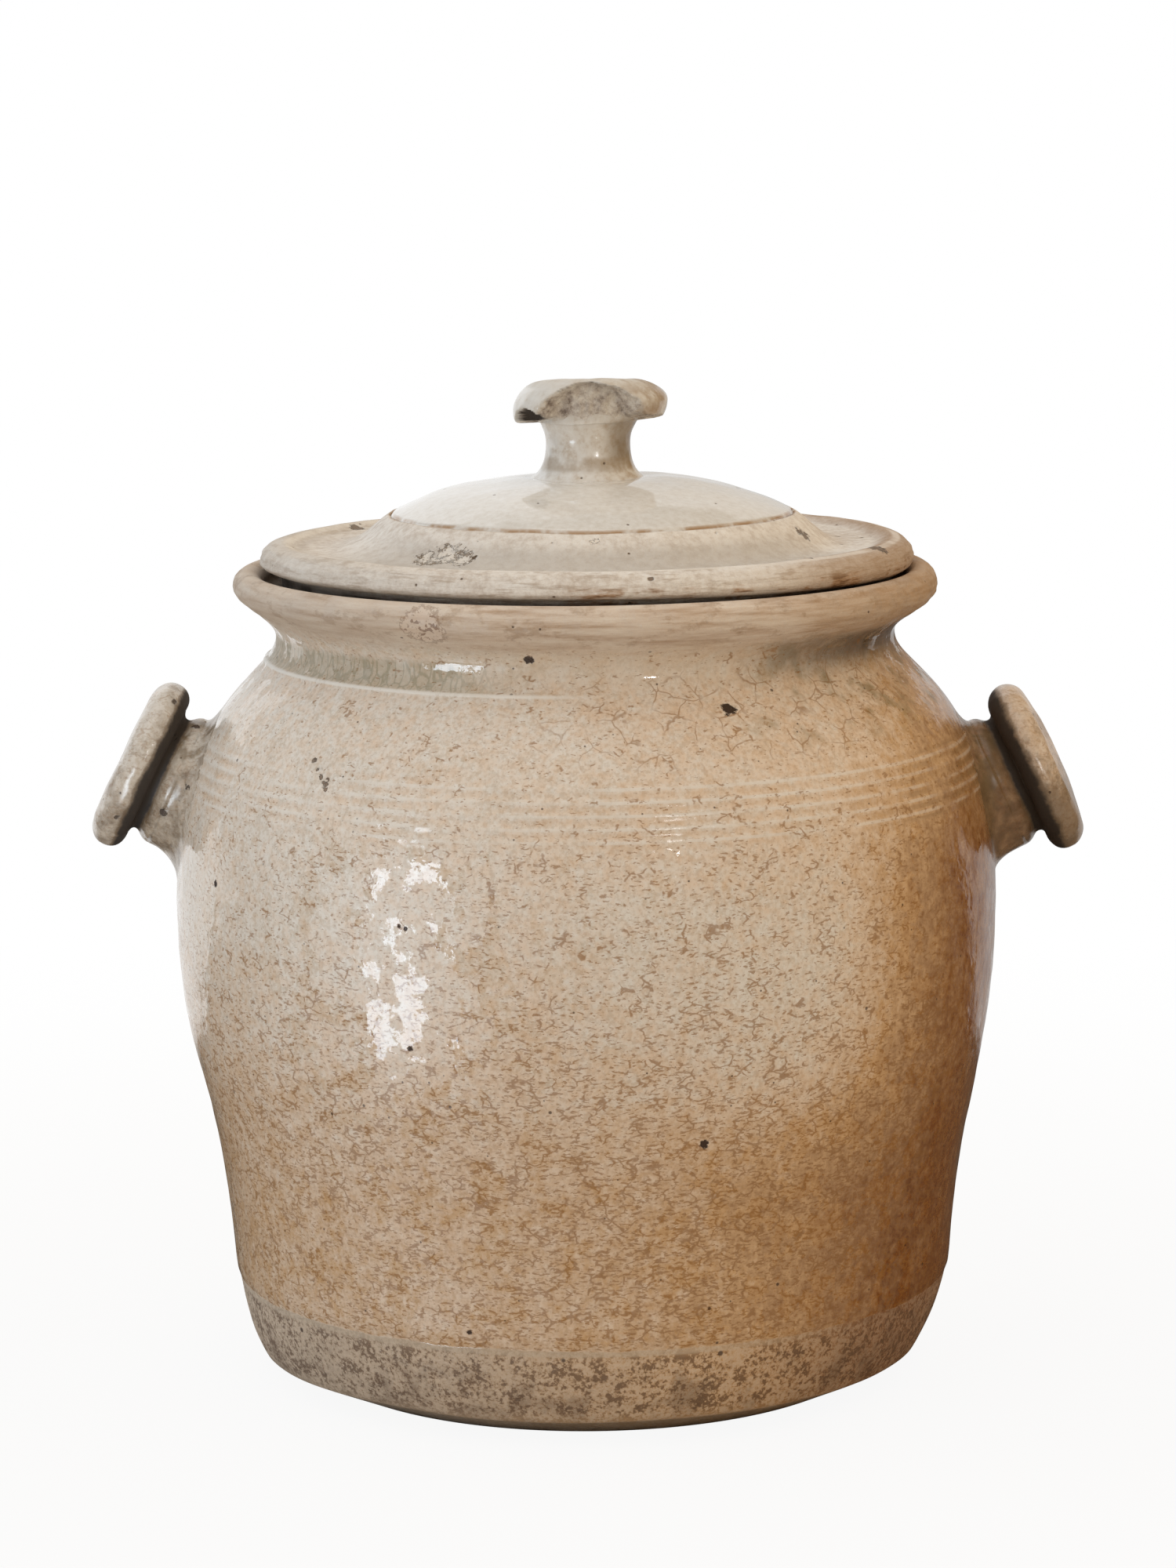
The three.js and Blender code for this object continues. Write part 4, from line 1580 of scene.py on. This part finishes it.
                # The stalk darkens towards the button: staining with painted shade in the joint.
                vert[dirt_and_shade] = smooth(height, 0.58 * self.stand_off, 0.95 * self.stand_off)
                vert.co = self.placed(radius, angle, height)
            elif radius < TINY:
                vert.co = self.root - self.out * self.core_depth
            else:
                step = round(angle * self.segments / math.tau)
                if step not in curves:
                    curves[step] = self.fillet(angle)
                vert.co = curves[step][row - 1]
        for vert in skin.verts:
            away = smooth((vert.co - self.root).dot(self.out), -0.004, 0.004)
            lump = self.root_lumps.at(vert.co)
            vert.co += (vert.co - self.root).normalized() * (lump * away)
        bmesh.ops.recalc_face_normals(skin, faces=skin.faces)
        settle(skin, f"{self.label}_lug_root", material, "pot", "lug_glaze",
               f"{self.label}_lug_stalk", f"{self.label}_lug_luting")

    def build_button(self, material: bpy.types.Material) -> None:
        """Make the round-edged button.

        Args:
            material: Finish of the lug.
        """
        edge = self.thickness / 2.0
        drawn = Outline(0.0, -edge).line(self.radius - edge, -edge, 10)
        drawn.arc((self.radius - edge, 0.0), edge, -math.pi / 2.0, math.pi / 2.0, 22)
        drawn.line(0.0, edge, 12)
        skin = drawn.spun(self.segments + 16)
        dirt_and_shade = skin.verts.layers.float.new("grime_and_shade")
        for vert in skin.verts:
            radius, height = math.hypot(vert.co.x, vert.co.y), vert.co.z
            angle = math.atan2(vert.co.y, vert.co.x)
            # The button's back darkens towards the stalk: staining with painted shade.
            vert[dirt_and_shade] = smooth(height, self.soiling_and_shade * edge, -0.95 * edge)
            face = smooth(radius, self.radius, 0.3 * self.radius)
            lump = self.button_lumps.at(vert.co)
            swell = self.swell * face if height > 0.0 else 0.0
            raised = self.stand_off + edge + height + swell + lump * math.copysign(0.7, height)
            vert.co = self.placed(radius + lump, angle, raised)
        bmesh.ops.recalc_face_normals(skin, faces=skin.faces)
        settle(skin, f"{self.label}_lug_disc", material, "pot", "lug_glaze", f"{self.label}_lug_button")


@dataclass
class Lid:
    """Loose lid: a thrown plate with rolled edge, moat, groove and crown, and a knob with a broken cap.

    Sizes are in metres.
    """

    roll: float = 0.0058
    foot_width: float = 0.009
    moat_width: float = 0.014
    moat_drop: float = 0.0019
    flank_width: float = 0.0195
    flank_rise: float = 0.0104
    groove_width: float = 0.0016
    groove_depth: float = 0.0008
    crown_rise: float = 0.011
    crown_thickness: float = 0.0095
    seat_clearance: float = 0.0073
    knob_foot: float = 0.0205
    knob_neck: float = 0.0131
    knob_throat: float = 0.0154
    knob_rim_depth: float = 0.0126
    knob_flat: float = 0.0135
    scar_foot: float = 0.3010
    chip_spread: float = math.radians(42.0)
    chip_flare: float = math.radians(45.0)
    chip_reach: float = 0.93
    edge_shift: float = 0.0006
    knob_shift: float = 0.0014
    cap_shift: float = 0.0008
    cap_droop: float = 0.0015
    cap_tilt: float = 0.09
    foot_sink: float = 0.0010
    gap: float = 0.30
    gap_more: float = 0.33
    sag: float = 0.0013
    ripple: float = 0.00012
    ripple_pitch: float = 0.0024
    crest_rise: float = 0.0006
    crease_depth: float = 0.0012
    crown_lean: float = 0.012
    crown_drop: float = 0.0004
    crown_swell: float = 0.0007
    flake_depth: float = 0.0005
    plate_lumps: Lumps = Lumps((0.0005, 0.035, 0.0), (0.00022, 0.010, 3.0))
    knob_lumps: Lumps = Lumps((0.0004, 0.014, 0.0), (0.0002, 0.006, 2.0))
    break_lumps: Lumps = Lumps((0.0008, 0.0045, 5.0), (0.0006, 0.002, 6.0))
    segments: int = 256
    knob_segments: int = 160
    plate_finish: LidFinish = field(default_factory=LidFinish)
    knob_finish: KnobFinish = field(default_factory=KnobFinish)
    hollow: Bite = Bite((-0.0208, -0.0130, 0.3000), (0.0066, 0.0082, 0.0048))

    def __post_init__(self) -> None:
        """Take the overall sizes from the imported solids."""
        low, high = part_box("lid_plate")
        self.seat = low.z
        self.crown_height = high.z
        self.edge_radius = high.y
        moat_height = self.crown_height - self.crown_rise - self.flank_rise
        self.roll_height = moat_height + self.moat_drop - self.roll
        self.gap_side = Vector((-0.6, -0.8, 0.0))
        self.sag_side = Vector((-0.5, 0.86, 0.0))
        low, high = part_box("lid_knob")
        self.cap_radius = high.y
        self.cap_top = high.z

    def section(self) -> Outline:
        """Draw the plate's section, from the underside round the edge to the crown.

        Returns:
            The outline, from axis to axis.
        """
        roll_radius = self.edge_radius - self.roll
        groove_height = self.crown_height - self.crown_rise
        moat_height = groove_height - self.flank_rise
        roll_height = self.roll_height
        moat = roll_radius - self.moat_width
        groove = moat - self.flank_width
        seat_radius = self.edge_radius - self.seat_clearance
        foot = seat_radius - self.foot_width
        hollow = self.crown_height - self.crown_thickness
        depth = hollow - self.seat
        half, sink = self.groove_width / 2.0, self.groove_depth / 2.0
        drawn = Outline(0.0, hollow)
        drawn.curve((foot / 2.0, hollow), (foot - depth / 3.0, self.seat + depth / 2.5),
                    (foot, self.seat), 26)
        drawn.line(seat_radius, self.seat, 3).line(roll_radius - 0.001, roll_height - self.roll, 3)
        drawn.arc((roll_radius, roll_height), self.roll, -math.pi / 2.0, math.pi / 2.0, 26)
        drawn.curve((roll_radius - self.moat_width / 2.0, roll_height + self.roll),
                    (moat + self.moat_width / 2.0, moat_height), (moat, moat_height), 24)
        drawn.curve((moat - self.flank_width / 2.0, moat_height),
                    (groove + half + self.flank_width / 4.0, groove_height - sink - self.flank_rise / 4.0),
                    (groove + half, groove_height - sink), 26)
        drawn.line(groove, groove_height - 2.0 * sink, 2).line(groove - half, groove_height + sink, 2)
        drawn.curve((groove - half - self.crown_rise, groove_height + sink + self.crown_rise / 2.0),
                    (self.knob_foot + self.crown_rise, self.crown_height),
                    (self.knob_foot, self.crown_height), 36)
        return drawn.line(0.0, self.crown_height, 6)

    def build_plate(self) -> None:
        """Turn, shape and dress the plate."""
        skin = self.section().spun(self.segments)
        for vert in skin.verts:
            self.shape_plate(vert)
        for flake in self.plate_finish.flakes:
            self.flake(skin, flake)
        settle(skin, "thrown_lid", self.plate_finish.material(), "lid", "lid_slip", "lid_plate")

    def shape_plate(self, vert: bmesh.types.BMVert) -> None:
        """Move a vertex of the true plate to where the potter's hand left it.

        Args:
            vert: Vertex of the plate.
        """
        moat = self.edge_radius - self.roll - self.moat_width
        crest = self.plate_finish.crease
        radius = math.hypot(vert.co.x, vert.co.y)
        out = Vector((vert.co.x, vert.co.y, 0.0)) / max(radius, TINY)
        upper = smooth(vert.co.z, self.crown_height - 0.024, self.crown_height - 0.017)
        aside = self.plate_finish.off_axis - self.edge_shift
        vert.co.x += self.edge_shift + aside * smooth(radius, moat + 0.004, moat - 0.012) * upper
        edge = smooth(radius, moat, self.edge_radius)
        edge *= smooth(vert.co.z, self.seat + 0.001, self.seat + 0.006)
        below = self.roll_height - vert.co.z
        if radius > self.edge_radius - 1.3 * self.roll and 0.0 < below < self.roll + 1e-5:
            vert.co.z += below * (self.gap + self.gap_more * smooth(out.dot(self.gap_side), -0.5, 0.9))
        lump = self.plate_lumps.at(vert.co)
        ripple = self.ripple * math.cos(vert.co.z * math.tau / self.ripple_pitch)
        vert.co += out * ((ripple - abs(lump)) * edge)
        sag = self.sag * smooth(out.dot(self.sag_side), 0.1, 0.9) * smooth(radius, moat - 0.012, moat)
        crease = self.crest_rise * hump(radius, crest, 0.0016)
        crease -= self.crease_depth * hump(radius, crest - 0.0050, 0.0024)
        lean = (self.crown_lean * vert.co.x - self.crown_drop) * smooth(radius, 0.052, 0.030)
        lean += self.crown_swell * hump(radius, 0.045, 0.010) * smooth(-out.x, 0.0, 0.8)
        vert.co.z += (lump - sag + crease + lean) * upper

    def flake(self, skin: bmesh.types.BMesh, mark: Mark) -> None:
        """Sink a flaked-off patch by a thin layer.

        Args:
            skin: Skin to sink.
            mark: Place and size of the patch.
        """
        place = Vector(mark.place)
        for vert in skin.verts:
            apart = (vert.co - place).length / mark.reach + 0.5 * unevenness(vert.co, 0.004)
            if apart < 1.1 and vert.co.z > place.z - 0.006:
                vert.co.z -= self.flake_depth * smooth(apart, 1.1, 0.8)

    def knob_section(self) -> Outline:
        """Draw the knob's section, from its spread foot over the cap.

        Returns:
            The outline, from axis to axis.
        """
        base = self.crown_height - 0.0006
        rim = self.cap_top - self.knob_rim_depth
        waist = base + 0.60 * (rim - base)
        brim = self.cap_top - 0.62 * self.knob_rim_depth
        drawn = Outline(0.0, base - 0.002).line(self.knob_foot + 0.001, base - 0.002, 3)
        drawn.line(self.knob_foot, base, 1)
        drawn.curve((self.knob_neck + 0.0030, base + 0.0012), (self.knob_neck, waist - 0.0060),
                    (self.knob_neck, waist), 26)
        drawn.curve((self.knob_neck, waist + 0.0040), (self.knob_throat - 0.0006, rim - 0.0012),
                    (self.knob_throat, rim + 0.0006), 18)
        drawn.curve((self.knob_throat + 0.0008, rim + 0.0016), (self.cap_radius - 0.0048, rim + 0.0002),
                    (self.cap_radius - 0.0022, rim), 16)
        drawn.curve((self.cap_radius - 0.0006, rim), (self.cap_radius, brim - 0.0020),
                    (self.cap_radius, brim), 12)
        drawn.curve((self.cap_radius, brim + 0.0040), (self.knob_flat + 0.0056, self.cap_top),
                    (self.knob_flat, self.cap_top), 24)
        return drawn.line(0.0, self.cap_top, 14)

    def build_knob(self) -> None:
        """Turn the knob, break its cap and dress it."""
        skin = self.knob_section().spun(self.knob_segments)
        bare = skin.verts.layers.float.new("bare")
        dirt_and_shade = skin.verts.layers.float.new("grime_and_shade")
        rim = self.cap_top - self.knob_rim_depth
        for vert in skin.verts:
            radius = math.hypot(vert.co.x, vert.co.y)
            if radius > self.knob_neck and vert.co.z > rim - 0.003:
                vert[bare], vert[dirt_and_shade] = self.broken(vert, radius)
            vert.co += vert.co.normalized() * self.knob_lumps.at(vert.co)
            head = smooth(vert.co.z, rim - 0.004, rim + 0.005)
            brim = head * smooth(vert.co.z, self.cap_top, rim + 0.004)
            vert.co.z += self.cap_droop * brim * vert.co.x / self.cap_radius
            vert.co.z -= self.cap_tilt * vert.co.y * smooth(vert.co.z, self.cap_top - 0.004, self.cap_top)
            vert.co.z -= self.foot_sink * smooth(vert.co.z, rim - 0.004, self.crown_height + 0.002)
            vert.co.x += self.knob_shift + self.cap_shift * head
        settle(skin, "chipped_knob", self.knob_finish.material(), "lid", "knob_glaze",
               "lid_knob", "lid_knob_luting")

    def broken(self, vert: bmesh.types.BMVert, radius: float) -> tuple[float, float]:
        """Draw a vertex of the cap in where a bite has broken it.

        Args:
            vert: Vertex of the cap.
            radius: Its distance from the axis.

        Returns:
            Shares of bare clay and of painted shade at the vertex.
        """
        out = Vector((vert.co.x / radius, vert.co.y / radius, 0.0))
        rise = max((vert.co.z - self.cap_top) / self.knob_rim_depth + 1.0, 0.0)
        turn = abs(math.atan2(out.x, -out.y)) + 0.20 * unevenness(vert.co, 0.005, 4.0)
        spread = self.chip_spread * (1.0 - (rise / self.chip_reach) ** 6.0)
        spread += self.chip_flare * hump(rise, 0.0, 0.12)
        gone = smooth(turn, spread + 0.09, spread - 0.09)
        rough = self.break_lumps.at(vert.co) * smooth(rise, 0.15, 0.35)
        left = self.knob_throat + 0.0004 - 0.0010 * rise + rough
        limit = self.cap_radius + (left - self.cap_radius) * gone
        hollow = self.hollow.limit(out, vert.co.z)
        # Painted shade fills the broken-out hollow.
        painted_shade = 1.0 if hollow is not None and hollow < limit else 0.0
        limit = min(limit, hollow) if painted_shade else limit
        kept = min(self.knob_throat, limit - 0.0002)
        if radius <= kept or limit > self.cap_radius - 1e-5:
            return 0.0, 0.0
        drawn = kept + (limit - kept) * (radius - kept) / (self.cap_radius - kept)
        deep = smooth(radius - drawn, 0.0001, 0.0008)
        vert.co.x, vert.co.y = out.x * drawn, out.y * drawn
        foot = self.scar_foot + 0.0016 * unevenness(out, 0.20, 3.0)
        above = smooth(vert.co.z, foot - 0.0014, foot + 0.0016)
        return deep * max(above, painted_shade, smooth(gone, 0.98, 0.80)), deep * painted_shade


@dataclass(frozen=True)
class Lamp:
    """Rectangular lamp that the camera doesn't see.

    Attributes:
        name: Name of the lamp.
        place: Where it hangs.
        aim: Point that it faces.
        size: Its width and height.
        power: Its power, in watts.
        colour: Colour of its light.
        glint: True if it shows in reflections only.
    """

    name: str
    place: tuple[float, float, float]
    aim: tuple[float, float, float]
    size: tuple[float, float]
    power: float
    colour: Colour = WHITE
    glint: bool = False

    def hang(self) -> None:
        """Hang the lamp in the scene."""
        light = bpy.data.lights.new(self.name, "AREA")
        light.shape = "RECTANGLE"
        light.size, light.size_y = self.size
        light.energy = self.power
        light.color = self.colour
        holder = bpy.data.objects.new(self.name, light)
        holder.location = self.place
        towards = Vector(self.aim) - Vector(self.place)
        holder.rotation_euler = towards.to_track_quat("-Z", "Y").to_euler()
        holder.visible_camera = False
        holder.visible_diffuse = not self.glint
        bpy.context.scene.collection.objects.link(holder)


@dataclass
class Studio:
    """Pale floor, soft light, and a camera at the photograph's angle."""

    camera_place: tuple[float, float, float] = (0.0004, -1.5365, 0.4295)
    aim_height: float = 0.18455
    roll: float = math.radians(-0.538)
    lens: float = 113.78
    sensor: float = 36.0
    floor_reach: float = 6.0
    sky_left: Colour = (0.88, 0.93, 0.99)
    sky_right: Colour = (0.93, 0.72, 0.47)
    mirrored_room: float = 0.12
    floor_white: float = 0.92
    paper: Colour = (0.66, 0.62, 0.57)
    lamps: tuple[Lamp, ...] = (
        Lamp("window_lamp", (-0.232, -0.258, 0.120), (-0.051, -0.115, 0.120), (0.110, 0.215), 0.62,
             (0.74, 0.87, 1.0), glint=True),
        Lamp("front_lamp", (0.425, -0.970, 0.487), (0.025, -0.12, 0.187), (0.09, 0.09), 0.7, glint=True),
        Lamp("top_lamp", (-0.20, -0.15, 1.35), (0.0, 0.0, 0.20), (0.90, 0.90), 1.3),
    )

    def build(self) -> None:
        """Set up floor, world, lamps and camera."""
        self.add_floor()
        self.add_sky()
        for lamp in self.lamps:
            lamp.hang()
        self.add_camera()
        bpy.context.scene.view_settings.view_transform = "Standard"

    def add_floor(self) -> None:
        """Lay a pale floor that shows white and keeps the pot's shadow."""
        skin = bmesh.new()
        bmesh.ops.create_grid(skin, x_segments=1, y_segments=1, size=self.floor_reach)
        piece = to_object(skin, "studio_floor")
        material, bench = new_material("floor_paper")
        x, y, _ = bench.axes()
        far = bench.vector("LENGTH", bench.point, (0.0, 0.0, 0.0), "Value")
        paper = bench.node("ShaderNodeBsdfDiffuse", {}, {"Color": self.dimmed(bench, self.paper)})
        white = bench.node("ShaderNodeEmission", {}, {"Color": WHITE, "Strength": 1.0})
        behind = (y + x * 0.28).step(0.19, 0.23) * (y - x * 0.69).step(0.03, 0.07)
        behind = behind * far.step(0.42, 0.48) * (1.0 - x.step(0.0, 0.3) * 0.5)
        bright = self.floor_white + far.step(0.15, 0.75) * (1.0 - self.floor_white)
        seen = self.seen(bench, behind) * bright
        surface = bench.node("ShaderNodeMixShader", {}, {0: seen, 1: paper, 2: white})
        bench.node("ShaderNodeOutputMaterial", {}, {"Surface": surface})
        piece.data.materials.append(material)

    def dimmed(self, bench: Bench, colour: Feed) -> Wire:
        """Colour that gets darker where a glaze mirrors it.

        Args:
            bench: Bench to lay the nodes on.
            colour: Colour seen by all other rays.

        Returns:
            The colour for any ray.
        """
        glossy = bench.node("ShaderNodeLightPath", output="Is Glossy Ray")
        return bench.mix(glossy * (1.0 - self.mirrored_room), colour, BLACK)

    @staticmethod
    def seen(bench: Bench, behind: Wire) -> Wire:
        """Share of the white background in what a ray meets.

        Args:
            bench: Bench to lay the nodes on.
            behind: 1 where the ray meets the background behind the pot.

        Returns:
            1 for rays that show the background itself, and for those mirrored from behind the pot.
        """
        camera = bench.node("ShaderNodeLightPath", output="Is Camera Ray")
        mirrored = camera.output("Is Glossy Ray") * behind
        return camera.most(mirrored).most(camera.output("Is Transmission Ray"))

    def add_sky(self) -> None:
        """Fill the room with soft light, cool on the left and warm on the right."""
        world = bpy.data.worlds.new("soft_room")
        world.use_nodes = True
        bench = Bench(world.node_tree)
        x, y, z = bench.axes(bench.node("ShaderNodeTexCoord", output="Generated"))
        room = self.dimmed(bench, bench.mix(x.step(-0.7, 0.8), self.sky_left, self.sky_right))
        right = x.step(-0.1, 0.1)
        behind = (y - right * 0.18).step(0.60, 0.66) * (1.0 - z.step(0.55, 0.85) * 0.6)
        behind = behind * (1.0 - right * 0.4)
        colour = bench.mix(self.seen(bench, behind), room, WHITE)
        surface = bench.node("ShaderNodeBackground", {}, {"Color": colour, "Strength": 1.0})
        bench.node("ShaderNodeOutputWorld", {}, {"Surface": surface})
        bpy.context.scene.world = world

    def add_camera(self) -> None:
        """Stand the camera in front of the pot, a little above it."""
        camera = bpy.data.cameras.new("camera")
        camera.lens = self.lens
        camera.sensor_width = self.sensor
        camera.clip_end = 100.0
        holder = bpy.data.objects.new("camera", camera)
        place = Vector(self.camera_place)
        aim = Vector((place.x, 0.0, self.aim_height))
        turn = (aim - place).to_track_quat("-Z", "Y").to_matrix().to_4x4()
        holder.matrix_world = Matrix.Translation(place) @ turn @ Matrix.Rotation(self.roll, 4, "Z")
        bpy.context.scene.collection.objects.link(holder)
        bpy.context.scene.camera = holder


def main() -> None:
    """Build the studio, the pot, its lugs and its lid."""
    logging.basicConfig(level=logging.INFO, format="%(name)s %(message)s")
    Studio().build()
    vessel = Vessel()
    vessel.build()
    button_glaze = LugFinish().material()
    stalk_glaze = LugFinish(name="lug_stalk_glaze", toasting=0.58, slope=4.5, stain=0.50, burnt_and_shaded=0.12,
                            worn=(0.43, 0.37, 0.29)).material()
    lugs = (
        Lug(vessel, Side.RIGHT, drop=0.0022, swell=0.0020, flare_below=0.0036, soiling_and_shade=0.45),
        Lug(vessel, Side.LEFT, drop=-0.0014, swell=0.0006, flare_below=0.0072, soiling_and_shade=0.0,
            inset=0.0008, tilt=math.radians(26.3)),
    )
    for lug in lugs:
        lug.build_root(stalk_glaze)
        lug.build_button(button_glaze)
    lid = Lid()
    lid.build_plate()
    lid.build_knob()


if __name__ == "__main__":
    main()
